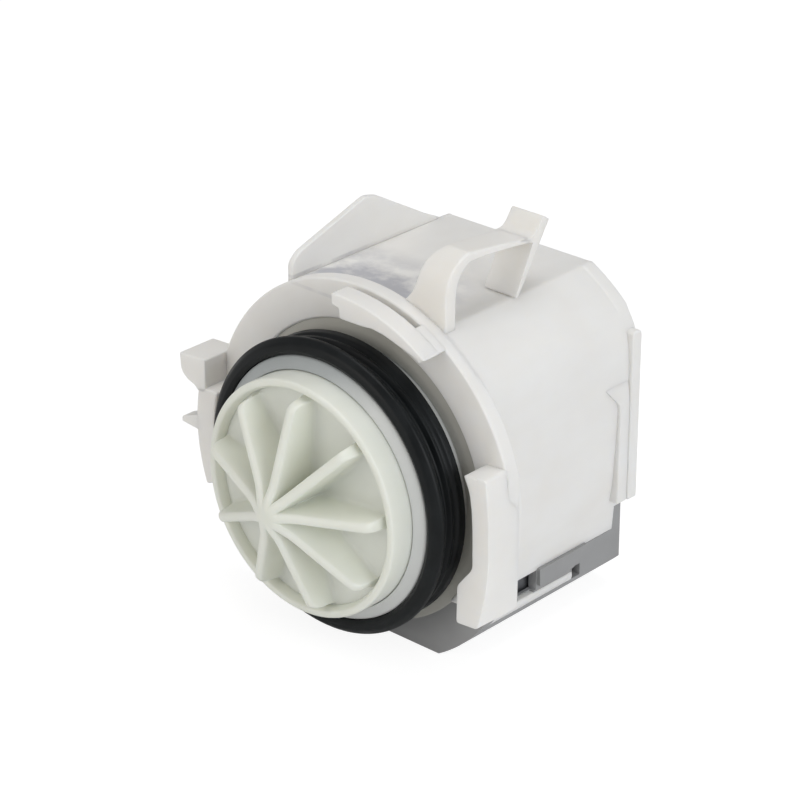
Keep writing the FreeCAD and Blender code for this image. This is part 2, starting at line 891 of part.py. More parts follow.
def make_holder():
    hub_radius = damper_radius + d.seat_gap + d.can_wall
    rim_radius = can_mouth - d.seat_gap
    groove_depth = d.gasket_radius * 2
    plate_front = holder_back - d.holder_plate
    groove_front = holder_back - d.gasket_radius * 2 - d.seat_gap * 3
    holder = turned(
        "holder",
        [
            (damper_radius + d.seat_gap, front_bush_start), (hub_radius, front_bush_start),
            (hub_radius, plate_front), (rim_radius, plate_front),
            (rim_radius, groove_front), (rim_radius - groove_depth, groove_front),
            (rim_radius - groove_depth, groove_front + d.gasket_radius * 2 + d.seat_gap * 2),
            (rim_radius, groove_front + d.gasket_radius * 2 + d.seat_gap * 2),
            (rim_radius, holder_back), (damper_radius + d.seat_gap, holder_back),
        ],
    )
    keep(holder, "bearing_holder")
    gasket = doc.addObject("Part::Torus", "gasket")
    gasket.Placement = FreeCAD.Placement(FreeCAD.Vector(), along("Y"))
    bind(gasket, Radius1=rim_radius - d.gasket_radius + d.seat_gap / 2, Radius2=d.gasket_radius)
    set_base(gasket, 0, groove_front + d.gasket_radius + d.seat_gap, 0)
    keep(gasket, "holder_gasket")


def make_bearings():
    for side, span in (
        ("front", (front_bush_start, front_bush_end)),
        ("rear", (rear_bush_start, rear_bush_end)),
    ):
        keep(tube_y(f"{side}_bush", d.bush_radius, bush_bore, span), f"{side}_bearing")
        keep(
            tube_y(f"{side}_ring", damper_radius, d.bush_radius + d.seat_gap, span),
            f"{side}_bearing_damper",
        )


# Turning pieces


def make_impeller():
    """Shallow dish with a skirt behind it, a pointed hub and straight radial vanes."""
    back = -d.impeller_back_lead
    floor = -d.impeller_floor_lead
    floor_back = floor + d.impeller_floor_thickness
    rim = -d.impeller_lead
    radius = can_mouth - d.impeller_gap
    inner_radius = radius - d.impeller_wall
    hub_bore = d.shaft_radius + d.seat_gap / 2
    shaft_end = -d.shaft_lead - d.seat_gap
    bowl = [
        (inner_radius - d.bowl_width * share, floor - d.bowl_rise * (1 - share) * (1 - share))
        for share in (0, 0.5, 1)
    ]
    dish = turned(
        "dish",
        [
            (hub_bore, back), (d.hub_radius, back), (d.hub_radius, floor_back),
            (inner_radius, floor_back), (inner_radius, back),
            (radius - d.back_bevel, back), (radius, back - d.back_bevel),
            (radius, rim + d.rim_bevel), (radius - d.rim_bevel, rim),
            (inner_radius + d.rim_bevel, rim), (inner_radius, rim + d.rim_bevel), *bowl,
            (d.hub_radius, floor), (d.hub_radius, -d.hub_shoulder_lead),
            (d.hub_tip_radius, d.hub_tip_height - d.hub_lead), (0, -d.hub_lead),
            (0, shaft_end), (hub_bore, shaft_end),
        ],
    )
    inner = d.hub_radius - d.vane_thickness
    vane_foot = floor + d.impeller_floor_thickness / 2
    vane_end = inner_radius - d.vane_end_inset
    vane = doc.addObject("PartDesign::Body", "vanes")
    sketch = outline(
        vane, "XY_Plane",
        [
            (inner, vane_foot), (vane_end, vane_foot), (vane_end, -d.vane_end_lead),
            (vane_end - d.vane_end_chamfer, -d.vane_end_lead - d.vane_end_chamfer),
            (inner, -d.vane_root_lead),
        ],
    )
    pad = vane.newObject("PartDesign::Pad", "vane_pad")
    pad.Profile = sketch
    pad.Midplane = True
    bind(pad, Length=d.vane_thickness)
    ring = vane.newObject("PartDesign::PolarPattern", "vane_ring")
    ring.Originals = [pad]
    ring.Axis = (sketch, ["V_Axis"])
    bind(ring, Occurrences=d.vane_count)
    vane.Tip = ring
    vane.Placement = FreeCAD.Placement(
        FreeCAD.Vector(), FreeCAD.Rotation(FreeCAD.Vector(0, 1, 0), -d.vane_phase.value)
    )
    bore = bar_y("impeller_shaft_hole", hub_bore, (shaft_end, back))
    keep(cut("impeller_body", fuse("dish_and_vanes", dish, vane), bore), "impeller")


def make_rotor():
    rear_washer_end = rear_bush_start - d.moving_gap
    rear_washer_start = rear_washer_end - d.washer_thickness
    washer_bore = d.shaft_radius + d.seat_gap / 2
    keep(bar_y("shaft", d.shaft_radius, (-d.shaft_lead, rear_bush_end - d.moving_gap)), "rotor_shaft")
    keep(
        tube_y("front_washer", d.washer_radius, washer_bore, (front_washer_start, front_washer_end)),
        "front_thrust_washer",
    )
    keep(
        tube_y("rear_washer", d.washer_radius, washer_bore, (rear_washer_start, rear_washer_end)),
        "rear_thrust_washer",
    )
    dog_span = (dog_start, dog_end)
    dog = cut(
        "dog",
        fuse(
            "dog_blank", bar_y("dog_hub", d.dog_hub_radius, dog_span),
            sector_y("dog_arm", d.dog_radius, -d.dog_angle / 2, d.dog_angle / 2, dog_span),
        ),
        bar_y("dog_bore", washer_bore, dog_span),
    )
    keep(dog, "drive_dog")

    head_bore = d.dog_radius + d.moving_gap
    floor_front = dog_end + d.moving_gap
    floor_back = floor_front + d.sleeve_head_wall
    sleeve_end = rear_washer_start - d.moving_gap
    sleeve = turned(
        "sleeve_blank",
        [
            (bush_bore, floor_front), (head_bore, floor_front), (head_bore, dog_start),
            (d.sleeve_head_radius, dog_start), (d.sleeve_head_radius, floor_back),
            (d.sleeve_radius, floor_back), (d.sleeve_radius, sleeve_end), (bush_bore, sleeve_end),
        ],
    )
    stop = cut(
        "sleeve_stop",
        sector_y(
            "stop_sector", head_bore + d.seat_gap, 180 - d.dog_angle / 2, 180 + d.dog_angle / 2,
            (dog_start, floor_front + d.seat_gap),
        ),
        bar_y("stop_bore", d.dog_hub_radius + d.moving_gap, (dog_start, floor_front + d.seat_gap)),
    )
    keep(fuse("sleeve", sleeve, stop), "magnet_sleeve")
    magnet_span = (floor_back + d.seat_gap, sleeve_end - d.moving_gap)
    keep(tube_y("magnet", d.magnet_radius, d.sleeve_radius + d.seat_gap, magnet_span), "rotor_magnet")


# Stator


def make_core():
    """Pack of laminations: an outer frame with one pole above and one below the rotor can."""
    span = (d.stack_front, stack_rear)
    inset = d.body_wall + d.moving_gap
    outside = common(
        "core_outside",
        bar_y("core_round", d.collar_radius - inset, span),
        prism_y("core_sides", body_section(inset, yoke_drop), span),
    )
    core_top = box("core_top_cut", full_width, span, (yoke_top, d.collar_radius))
    window_reach = d.side_reach - inset - d.limb_width
    window_top = yoke_top - d.yoke_height
    window_bottom = d.yoke_height - yoke_drop
    lower_reach = window_reach - d.split_inset
    corner = d.window_corner
    window = prism_y(
        "core_window",
        [
            (window_reach - d.limb_width, window_top), (d.limb_width - window_reach, window_top),
            (-window_reach, window_top - d.limb_width), (-window_reach, -d.shoulder_drop),
            (-lower_reach, window_bottom + corner), (corner - lower_reach, window_bottom),
            (lower_reach - corner, window_bottom), (lower_reach, window_bottom + corner),
            (window_reach, -d.shoulder_drop), (window_reach, window_top - d.limb_width),
        ],
        span,
    )
    poles = box("poles", (-d.pole_reach, d.pole_reach), span, (window_bottom, window_top))
    shoes = common(
        "shoes",
        bar_y("shoe_round", stator_bore + d.shoe_thickness, span),
        box("shoe_part", (-d.shoe_reach, d.shoe_reach), span, full_width),
    )
    frame = cut("core_frame", outside, core_top, window)
    rotor_bore = bar_y("core_bore", stator_bore, span)
    holes = [
        bar_y(f"rivet_hole_{number}", d.rivet_radius + d.seat_gap, span, x, z)
        for number, (x, z) in enumerate(rivet_places(), start=1)
    ]
    keep(cut("core", fuse("core_blank", frame, poles, shoes), rotor_bore, *holes), "stator_core")


def rivet_places():
    upper = d.side_reach - d.rivet_inset
    lower = upper - d.split_inset
    return [
        (upper, d.rivet_top), (-upper, d.rivet_top),
        (lower, -d.rivet_drop), (-lower, -d.rivet_drop),
    ]


def make_rivets():
    group = doc.addObject("Part::Compound", "rivets")
    rivets = []
    head_gap = d.seat_gap / 2
    for number, (x, z) in enumerate(rivet_places(), start=1):
        shank_span = (d.stack_front - head_gap - d.rivet_head, stack_rear + head_gap + d.rivet_head)
        shank = bar_y(f"rivet_shank_{number}", d.rivet_radius, shank_span, x, z)
        front = bar_y(
            f"rivet_front_{number}", d.rivet_head_radius,
            (d.stack_front - head_gap - d.rivet_head, d.stack_front - head_gap), x, z,
        )
        rear = bar_y(
            f"rivet_rear_{number}", d.rivet_head_radius,
            (stack_rear + head_gap, stack_rear + head_gap + d.rivet_head), x, z,
        )
        rivets.append(fuse(f"rivet_{number}", shank, front, rear))
    group.Links = rivets
    keep(group, "core_rivets")


def make_coils():
    """Bobbin and coil on each pole; the lower pair is the upper pair turned over."""
    shoe_clear = stator_bore + d.shoe_thickness + d.moving_gap
    lower_end = yoke_drop - d.yoke_height - d.moving_gap
    upper_end = yoke_top - d.yoke_height - d.moving_gap
    pole_gap = d.seat_gap * 2
    spool_x = d.pole_reach + pole_gap
    spool_y = (d.stack_front - pole_gap, stack_rear + pole_gap)
    flange_y = (spool_y[0] - d.bobbin_overhang, spool_y[1] + d.bobbin_overhang)
    core_x = spool_x + d.bobbin_wall
    core_y = (spool_y[0] - d.bobbin_wall, spool_y[1] + d.bobbin_wall)
    coil_x = d.bobbin_flange_reach - d.coil_margin
    coil_y = (flange_y[0] + d.coil_margin, flange_y[1] - d.coil_margin)
    for side, end in (("upper", upper_end), ("lower", lower_end)):
        sign = 1 if side == "upper" else -1

        def span(low, high):
            return (low, high) if sign == 1 else (-high, -low)

        core = box(f"{side}_spool", (-core_x, core_x), core_y, span(shoe_clear, end))
        inner = box(
            f"{side}_inner_flange", (-d.bobbin_flange_reach, d.bobbin_flange_reach), flange_y,
            span(shoe_clear, shoe_clear + d.bobbin_wall),
        )
        outer = box(
            f"{side}_outer_flange", (-d.bobbin_flange_reach, d.bobbin_flange_reach), flange_y,
            span(end - d.bobbin_wall, end),
        )
        hole = box(f"{side}_pole_hole", (-spool_x, spool_x), spool_y, span(shoe_clear, end))
        bobbin = cut(f"{side}_bobbin_body", fuse(f"{side}_bobbin_blank", core, inner, outer), hole)
        keep(bobbin, f"{side}_bobbin")
        coil_span = span(
            shoe_clear + d.bobbin_wall + d.seat_gap / 2, end - d.bobbin_wall - d.seat_gap / 2
        )
        gap = d.seat_gap / 2
        coil = cut(
            f"{side}_winding",
            box(f"{side}_winding_block", (-coil_x, coil_x), coil_y, coil_span),
            box(
                f"{side}_winding_hole", (-core_x - gap, core_x + gap),
                (core_y[0] - gap, core_y[1] + gap), coil_span,
            ),
        )
        keep(coil, f"{side}_coil")
    fuse_y = coil_y[1] + d.seat_gap + d.fuse_radius
    fuse_z = (shoe_clear + upper_end) / 2
    keep(
        bar_x("cutout", d.fuse_radius, (-d.fuse_length / 2, d.fuse_length / 2), fuse_y, fuse_z),
        "thermal_fuse",
    )


make_housing()
make_latch()
make_base()
make_connector()
make_can()
make_seal()
make_holder()
make_bearings()
make_impeller()
make_rotor()
make_core()
make_rivets()
make_coils()
doc.recompute()


def check_document():
    """Stops before anything is written if a feature failed or a sub-part isn't a sound shape."""
    faults = [item.Name for item in doc.Objects if {"Invalid", "Error"} & set(item.State)]
    for piece in pieces:
        if piece.Shape.isNull() or not piece.Shape.isValid() or not piece.Shape.Solids:
            faults.append(piece.Label)
    if faults:
        sys.exit("faulty: " + ", ".join(faults))


check_document()
os.makedirs("parts", exist_ok=True)
for piece in pieces:
    piece.Shape.exportStep(os.path.join("parts", piece.Label + ".step"))
    print(f"{piece.Label}: {len(piece.Shape.Solids)} solid, {piece.Shape.Volume:.1f} mm3")
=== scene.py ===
# %% [markdown]
# # A drain pump, dressed for its picture
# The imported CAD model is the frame: it says where every part sits and how it turns.
# This lesson dresses it in moulded plastic, rubber and metal, lights it softly, and puts a camera
# where a product photographer would stand. The shapes are given in millimetres until a mesh is
# made, because the parts were drawn in millimetres; the floor and the lamps are given in metres.

# %% Load the frame
import json
import math

import bmesh
import bpy
from mathutils import Matrix, Vector


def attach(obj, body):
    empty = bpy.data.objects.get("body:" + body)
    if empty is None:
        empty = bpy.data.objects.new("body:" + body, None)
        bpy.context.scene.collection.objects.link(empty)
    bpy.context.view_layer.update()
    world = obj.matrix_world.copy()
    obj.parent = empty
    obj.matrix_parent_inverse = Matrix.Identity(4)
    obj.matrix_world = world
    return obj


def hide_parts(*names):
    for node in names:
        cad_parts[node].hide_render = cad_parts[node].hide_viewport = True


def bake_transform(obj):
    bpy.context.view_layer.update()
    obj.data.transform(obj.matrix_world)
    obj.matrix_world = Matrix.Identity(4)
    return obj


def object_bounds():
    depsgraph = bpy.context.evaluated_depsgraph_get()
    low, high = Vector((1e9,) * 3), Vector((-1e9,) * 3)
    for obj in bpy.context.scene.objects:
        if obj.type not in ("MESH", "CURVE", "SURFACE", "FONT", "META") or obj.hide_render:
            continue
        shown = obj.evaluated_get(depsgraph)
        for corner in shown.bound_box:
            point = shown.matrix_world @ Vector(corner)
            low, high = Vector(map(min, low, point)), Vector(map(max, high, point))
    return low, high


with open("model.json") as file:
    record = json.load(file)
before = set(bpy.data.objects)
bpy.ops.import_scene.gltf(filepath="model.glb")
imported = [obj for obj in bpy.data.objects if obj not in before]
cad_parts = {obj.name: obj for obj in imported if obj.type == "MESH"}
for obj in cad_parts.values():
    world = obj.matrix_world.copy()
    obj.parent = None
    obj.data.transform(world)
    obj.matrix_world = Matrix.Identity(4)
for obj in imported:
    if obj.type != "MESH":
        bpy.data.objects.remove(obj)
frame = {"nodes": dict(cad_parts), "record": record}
cad_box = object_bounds()
MM = 0.001

# %% [markdown]
# ## Camera
# The picture was taken from the right, a little above, with a long lens, so lines stay almost
# parallel. The camera could be aimed by a constraint at an empty, but a matrix built from the
# direction it looks in leaves nothing to go wrong.

# %% Camera
CAMERA_PLACE = Vector((359.891, -383.362, 266.399)) * MM
CAMERA_BACK = Vector((0.6076, -0.6672, 0.4310)).normalized()
LENS = 134.51
SENSOR = 36.0

camera_data = bpy.data.cameras.new("camera")
camera_data.lens = LENS
camera_data.sensor_width = SENSOR
camera_data.clip_end = 20.0
camera = bpy.data.objects.new("camera", camera_data)
bpy.context.scene.collection.objects.link(camera)
right = Vector((0.0, 0.0, 1.0)).cross(CAMERA_BACK).normalized()
above = CAMERA_BACK.cross(right)
turn = Matrix((right, above, CAMERA_BACK)).transposed().to_4x4()
camera.matrix_world = Matrix.Translation(CAMERA_PLACE) @ turn
bpy.context.scene.camera = camera
print("camera is", round(CAMERA_PLACE.length / MM), "mm from the middle of the collar's face")

# %% [markdown]
# ## Writing shaders as sums
# A material is a small sum over the surface: a little noise here, a tint between two levels there.
# Linking nodes by hand hides the sum, so one class stands for a socket and lets Python's own
# signs add the Math nodes. Colours go through Mix nodes, because a Math node turns them grey.


# %% A socket that can be added and multiplied
class Value:
    """A number, vector or colour that comes out of a node."""

    def __init__(self, recipe, socket):
        self.recipe = recipe
        self.socket = socket

    def joined(self, operation, first, second):
        return self.recipe.node("ShaderNodeMath", {"operation": operation}, {0: first, 1: second})

    def __add__(self, other):
        return self.joined("ADD", self, other)

    def __radd__(self, other):
        return self.joined("ADD", other, self)

    def __sub__(self, other):
        return self.joined("SUBTRACT", self, other)

    def __rsub__(self, other):
        return self.joined("SUBTRACT", other, self)

    def __mul__(self, other):
        return self.joined("MULTIPLY", self, other)

    def __rmul__(self, other):
        return self.joined("MULTIPLY", other, self)


# %% A recipe that makes one material
NOISE_ROUGHNESS = 0.55


class Recipe:
    """A material's node tree."""

    def __init__(self, name):
        self.material = bpy.data.materials.new(name)
        self.material.use_nodes = True
        self.tree = self.material.node_tree
        self.tree.nodes.clear()
        self.place = None

    def node(self, kind, settings=None, inputs=None, output=0):
        """Adds a node: its settings first, then the values or links of its sockets."""
        made = self.tree.nodes.new(kind)
        for name, setting in (settings or {}).items():
            setattr(made, name, setting)
        for key, given in (inputs or {}).items():
            if isinstance(given, Value):
                self.tree.links.new(given.socket, made.inputs[key])
            else:
                made.inputs[key].default_value = given
        return Value(self, made.outputs[output])

    def where(self):
        """Place on the object, in metres."""
        if self.place is None:
            self.place = self.node("ShaderNodeTexCoord", output="Object")
        return self.place

    def along(self, axis):
        """Place along one axis, in millimetres."""
        split = self.node("ShaderNodeSeparateXYZ", {}, {"Vector": self.where()}, output=axis)
        return split * (1.0 / MM)

    def within(self, value, low, high, soft):
        """1 between two levels and 0 outside, with soft borders."""
        rise = self.level(value, low - soft, low + soft)
        fall = self.level(value, high - soft, high + soft)
        return rise * (1.0 - fall)

    def noise(self, size, detail=3.0, stretch=(1.0, 1.0, 1.0)):
        """Noise from 0 to 1 whose blobs are about `size` millimetres across."""
        spread = self.node("ShaderNodeMapping", {}, {"Vector": self.where(), "Scale": stretch})
        return self.node("ShaderNodeTexNoise", {}, {
            "Vector": spread, "Scale": 1.0 / (size * MM), "Detail": detail,
            "Roughness": NOISE_ROUGHNESS,
        })

    def level(self, factor, low, high):
        """Stretches the part of a value between two levels over 0 to 1."""
        return self.node(
            "ShaderNodeMapRange", {}, {"Value": factor, "From Min": low, "From Max": high}
        )

    def mix(self, factor, first, second):
        """Goes from the first colour to the second as the factor goes from 0 to 1."""
        return self.node(
            "ShaderNodeMix", {"data_type": "RGBA"}, {0: factor, 6: first, 7: second}, output=2
        )

    def bump(self, height, strength, distance, under=None):
        """Relief of a height in millimetres, over another relief if one is given."""
        inputs = {"Height": height, "Strength": strength, "Distance": distance * MM}
        if under is not None:
            inputs["Normal"] = under
        return self.node("ShaderNodeBump", {}, inputs)

    def finish(self, **inputs):
        """Ends the recipe in a Principled shader."""
        named = {key.replace("_", " "): given for key, given in inputs.items()}
        shader = self.node("ShaderNodeBsdfPrincipled", {}, named)
        end = self.tree.nodes.new("ShaderNodeOutputMaterial")
        self.tree.links.new(shader.socket, end.inputs["Surface"])
        return self.material


def colour(red, green, blue):
    return (red, green, blue, 1.0)


print("a recipe has", len([name for name in dir(Recipe) if not name.startswith("_")]), "steps to mix from")


# %% [markdown]
# ## Moulded plastics
# The housing is a glass-filled plastic straight from the mould: off-white, satin, with a grain so
# fine that it only softens the highlights, and faint clouds where the melt flowed together.
# Four noises of different sizes give that: 14 mm clouds and 5 mm streaks along the pump for tint,
# 2 mm for gloss, and a 0.2 mm grain. Shade is painted on the roof behind the collar as greyer
# patches, and light is painted on the neck, which is paler low down and to the right. Those recipes
# also ask where on the pump they are. The release arm is painted a little warmer than the housing,
# as in the picture: painted light, the glow of light through its thin plastic.


# %% Plastics
X, Y, Z = 0, 1, 2
# painted shade: the grey painted on the roof behind the collar
PAINTED_SHADE_GREY = (0.50, 0.50, 0.53)
GRAIN = 0.012
WAVES = 0.03


def roof_painted_shade(recipe):
    """Painted shade: where the roof behind the collar is painted greyer."""
    height = recipe.within(recipe.along(Z), 34.7, 35.4, 0.15)
    across = recipe.within(recipe.along(X), -22.0, 11.0, 4.0)
    length = recipe.within(recipe.along(Y), 2.0, 21.0, 6.0)
    return height * across * length * recipe.level(recipe.noise(7.0, detail=4.0), 0.32, 0.58)


def painted_light_low(recipe):
    """Painted light: the lower and right part of a ring round the axis, painted paler."""
    return 1.0 - recipe.level(recipe.along(Z) - 0.6 * recipe.along(X), 12.0, 24.0)


def moulded(name, pale, dark, gloss, glow=0.0, reach=1.0, painted_roof_shade=False, low=None):
    """Satin moulded plastic between two close tints."""
    recipe = Recipe(name)
    clouds = recipe.level(recipe.noise(14.0, detail=2.0), 0.3, 0.7)
    streaks = recipe.level(recipe.noise(5.0, stretch=(1.0, 0.35, 1.0)), 0.35, 0.65)
    fine = recipe.noise(0.22, detail=2.0)
    tint = recipe.mix(clouds * 0.7 + streaks * 0.3, colour(*pale), colour(*dark))
    if low:
        # painted light: the lower right is painted paler, as if more light fell there
        tint = recipe.mix(painted_light_low(recipe), tint, colour(*low))
    if painted_roof_shade:
        # painted shade: greyer patches on the roof behind the collar
        tint = recipe.mix(roof_painted_shade(recipe), tint, colour(*PAINTED_SHADE_GREY))
    soft = recipe.noise(2.2, detail=3.0)
    rough = gloss + 0.12 * (soft - 0.5) + 0.05 * fine
    normal = recipe.bump(fine, 0.35, GRAIN, recipe.bump(soft, 0.25, WAVES))
    return recipe.finish(
        Base_Color=tint, Roughness=rough, Normal=normal, Subsurface_Weight=glow,
        Subsurface_Radius=(1.0, 0.93, 0.8), Subsurface_Scale=reach * MM,
    )


white_plastic = moulded(
    "white_plastic", (0.88, 0.87, 0.845), (0.845, 0.825, 0.79), 0.42, glow=0.4, reach=3.0, painted_roof_shade=True,
)
# painted light: the arm's warmer tint stands in for light glowing through its thin plastic
thin_plastic = moulded(
    "thin_plastic", (0.865, 0.845, 0.81), (0.84, 0.812, 0.765), 0.42, glow=0.5, reach=4.0,
)
# painted shade: a darker, warmer copy of the white plastic, for the seat in the seal's shadow
seat_plastic = moulded("seat_plastic", (0.57, 0.56, 0.51), (0.52, 0.51, 0.46), 0.45)
grey_plastic = moulded("grey_plastic", (0.35, 0.35, 0.352), (0.31, 0.31, 0.31), 0.45)
# painted light: the low colour paints the neck paler low down and to the right
neck_plastic = moulded(
    "neck_plastic", (0.43, 0.455, 0.46), (0.385, 0.41, 0.415), 0.38, low=(0.66, 0.67, 0.655),
)
impeller_plastic = moulded(
    "impeller_plastic", (0.82, 0.835, 0.765), (0.775, 0.79, 0.71), 0.34, glow=0.35, reach=3.0,
)
ceramic = moulded("ceramic", (0.86, 0.85, 0.81), (0.82, 0.80, 0.76), 0.2)
washer_plastic = moulded("washer_plastic", (0.50, 0.35, 0.16), (0.44, 0.30, 0.13), 0.4)
bobbin_plastic = moulded("bobbin_plastic", (0.74, 0.71, 0.61), (0.70, 0.67, 0.57), 0.4)
print("plastics:", white_plastic.name, grey_plastic.name, neck_plastic.name, impeller_plastic.name)

# %% [markdown]
# ## Rubber
# The seal is a soft black rubber. It isn't evenly black: a pale bloom comes to its surface in
# places and dulls it there, so one noise lightens the tint and roughens the gloss together.


# %% Rubber
def rubber():
    recipe = Recipe("seal_rubber")
    bloom = recipe.level(recipe.noise(6.0, detail=4.0), 0.42, 0.75)
    fine = recipe.noise(0.3, detail=3.0)
    tint = recipe.mix(bloom, colour(0.005, 0.0063, 0.007), colour(0.009, 0.011, 0.012))
    rough = 0.3 + 0.16 * bloom + 0.08 * fine
    return recipe.finish(
        Base_Color=tint, Roughness=rough, Normal=recipe.bump(fine, 0.3, 0.01),
        Specular_IOR_Level=0.2,
    )


seal_rubber = rubber()
print("rubber:", seal_rubber.name)

# %% [markdown]
# ## Metals
# The blades, the shaft, the laminations and the copper are drawn, ground or rolled, which leaves
# fine lines along one direction. A noise squeezed twelve times along Y gives such lines, and a
# larger one the patches of tarnish. One function serves them all, with other tints.


# %% Metals
def plain_metal(name, pale, dark, gloss, metallic=1.0):
    recipe = Recipe(name)
    patches = recipe.level(recipe.noise(3.0, detail=4.0), 0.35, 0.7)
    lines = recipe.noise(0.5, stretch=(1.0, 12.0, 1.0))
    tint = recipe.mix(patches, colour(*pale), colour(*dark))
    rough = gloss + 0.15 * (lines - 0.5)
    return recipe.finish(
        Base_Color=tint, Metallic=metallic, Roughness=rough, Normal=recipe.bump(lines, 0.2, 0.01),
    )


tinned_brass = plain_metal("tinned_brass", (0.74, 0.70, 0.60), (0.66, 0.60, 0.47), 0.32)
steel = plain_metal("steel", (0.66, 0.66, 0.67), (0.56, 0.56, 0.57), 0.30)
lamination = plain_metal("lamination", (0.36, 0.37, 0.39), (0.24, 0.25, 0.27), 0.45)
ferrite = plain_metal("ferrite", (0.07, 0.07, 0.075), (0.045, 0.045, 0.05), 0.5, metallic=0.2)
copper_wire = plain_metal("copper_wire", (0.50, 0.19, 0.08), (0.38, 0.12, 0.05), 0.3, metallic=0.6)
print("metals:", tinned_brass.name, steel.name, lamination.name, ferrite.name, copper_wire.name)

# %% [markdown]
# ## Who wears what
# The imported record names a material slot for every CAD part. The inner parts are seen only where a
# gap lets the eye in, so they keep their CAD shape and just get their finish.

# %% Finishes on the CAD parts
finishes = {
    "white_plastic": white_plastic, "thin_plastic": thin_plastic, "seat_plastic": seat_plastic,
    "grey_plastic": grey_plastic, "neck_plastic": neck_plastic,
    "impeller_plastic": impeller_plastic, "seal_rubber": seal_rubber, "tinned_brass": tinned_brass,
    "ceramic": ceramic, "steel": steel, "washer_plastic": washer_plastic, "ferrite": ferrite,
    "lamination": lamination, "bobbin_plastic": bobbin_plastic, "copper_wire": copper_wire,
}
slot_of = {part["node"]: part["material_slot"] for part in frame["record"]["subparts"]}
for name, node in frame["nodes"].items():
    node.data.materials.clear()
    node.data.materials.append(finishes[slot_of[name]])
print("painted", len(slot_of), "nodes with", len(finishes), "finishes at hand")

# %% [markdown]
# ## Three ways to make a moulded shape
# Nearly all of this pump is one of three things. A turned shape is an outline spun round the pump's
# axis. A prism is an outline pushed along one direction. A lofted shape passes through several
# outlines that differ a little. Each is a closed mesh with few faces, and a Bevel modifier then
# rolls its edges, because nothing leaves a mould with a knife edge.


# %% Outlines
def arc(radius, start, end, steps):
    """Points on a circle round the pump's axis, its angles counted from X towards Z."""
    angles = [math.radians(start + (end - start) * step / steps) for step in range(steps + 1)]
    return [(radius * math.cos(a), radius * math.sin(a)) for a in angles]


def smooth_line(points, steps=4):
    """Curve that runs through every point given."""
    ends = [points[0], *points, points[-1]]
    line = []
    for before, start, end, after in zip(ends, ends[1:], ends[2:], ends[3:]):
        for step in range(steps):
            t = step / steps
            line.append(tuple(
                0.5 * (2 * b + (c - a) * t + (2 * a - 5 * b + 4 * c - e) * t * t
                       + (3 * b - a - 3 * c + e) * t ** 3)
                for a, b, c, e in zip(before, start, end, after)
            ))
    return [*line, tuple(points[-1])]


def rounded(points, radius, steps=4):
    """Closed outline with its corners rounded; a point may carry a radius of its own."""
    made = []
    for index, point in enumerate(points):
        corner = Vector(point[:2])
        reach = point[2] if len(point) > 2 else radius
        before = Vector(points[index - 1][:2]) - corner
        after = Vector(points[(index + 1) % len(points)][:2]) - corner
        cut = min(reach, before.length * 0.49, after.length * 0.49)
        if cut < 1e-6:
            made.append(tuple(corner))
            continue
        first = corner + before.normalized() * cut
        last = corner + after.normalized() * cut
        for step in range(steps + 1):
            t = step / steps
            made.append(tuple(first * (1 - t) ** 2 + corner * 2 * t * (1 - t) + last * t * t))
    return made


# %% Meshes
def linked(name, mesh):
    """Object for a mesh, in the scene."""
    piece = bpy.data.objects.new(name, mesh)
    bpy.context.scene.collection.objects.link(piece)
    return piece


def closed(name, points, faces):
    """Object from points in millimetres, its faces turned outwards."""
    mesh = bpy.data.meshes.new(name)
    work = bmesh.new()
    verts = [work.verts.new(Vector(point) * MM) for point in points]
    for face in faces:
        work.faces.new([verts[index] for index in face])
    bmesh.ops.remove_doubles(work, verts=work.verts, dist=0.0005 * MM)
    unused = [vert for vert in work.verts if not vert.link_faces]
    bmesh.ops.delete(work, geom=unused, context="VERTS")
    bmesh.ops.recalc_face_normals(work, faces=work.faces)
    for face in work.faces:
        face.smooth = True
    work.to_mesh(mesh)
    work.free()
    return linked(name, mesh)


def lofted(name, loops):
    """Skin through closed loops of equal length, with a cap at each end."""
    points = [point for loop in loops for point in loop]
    count = len(loops[0])
    last = len(points) - count
    faces = [list(range(count)), list(range(last, last + count))]
    for start in range(0, last, count):
        for index in range(count):
            following = (index + 1) % count
            faces.append([
                start + index, start + following, start + count + following, start + count + index,
            ])
    return closed(name, points, faces)


def prism(name, outline, span, axis="y"):
    """Outline pushed from one end of a span to the other, along X or Y."""
    if axis == "x":
        return lofted(name, [[(level, a, b) for a, b in outline] for level in span])
    return lofted(name, [[(a, level, b) for a, b in outline] for level in span])


TURN_STEPS = 160


def turned(name, outline):
    """Closed (radius, y) outline spun round the pump's axis."""
    points, faces = [], []
    count = len(outline)
    for segment in range(TURN_STEPS):
        angle = 2 * math.pi * segment / TURN_STEPS
        for radius, level in outline:
            points.append((radius * math.cos(angle), level, radius * math.sin(angle)))
    for segment in range(TURN_STEPS):
        following = (segment + 1) % TURN_STEPS
        for index in range(count):
            step = (index + 1) % count
            faces.append([
                segment * count + index, segment * count + step,
                following * count + step, following * count + index,
            ])
    return closed(name, points, faces)


# %% Edges, and who a piece belongs to
def rolled(piece, width, segments=3, angle=35.0):
    """Rounds every edge that is sharper than the angle."""
    bevel = piece.modifiers.new("edges", "BEVEL")
    bevel.width = width * MM
    bevel.segments = segments
    bevel.limit_method = "ANGLE"
    bevel.angle_limit = math.radians(angle)
    bevel.harden_normals = True
    bevel.use_clamp_overlap = True
    return piece


def dress(piece, slot, body="root", instead=(), finish=None):
    """Gives a piece its finish, the body it rides on and the CAD parts it stands for."""
    piece.data.materials.clear()
    piece.data.materials.append(finishes[finish or slot])
    if body:
        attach(piece, body)
    if instead:
        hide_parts(*instead)
    return piece


print("three ways to make a shape are ready")

# %% [markdown]
# ## Motor housing
# The housing is a box with a rounded roof behind a round collar. Its side isn't flat: it is widest
# above mid height and draws in below, so the light slides over it without an edge. A box with
# a Subdivision Surface would swell too, but its edges would be hard to place. Here one outline
# across the pump is drawn through measured points, copied along the pump, and given a wall by
# Solidify.

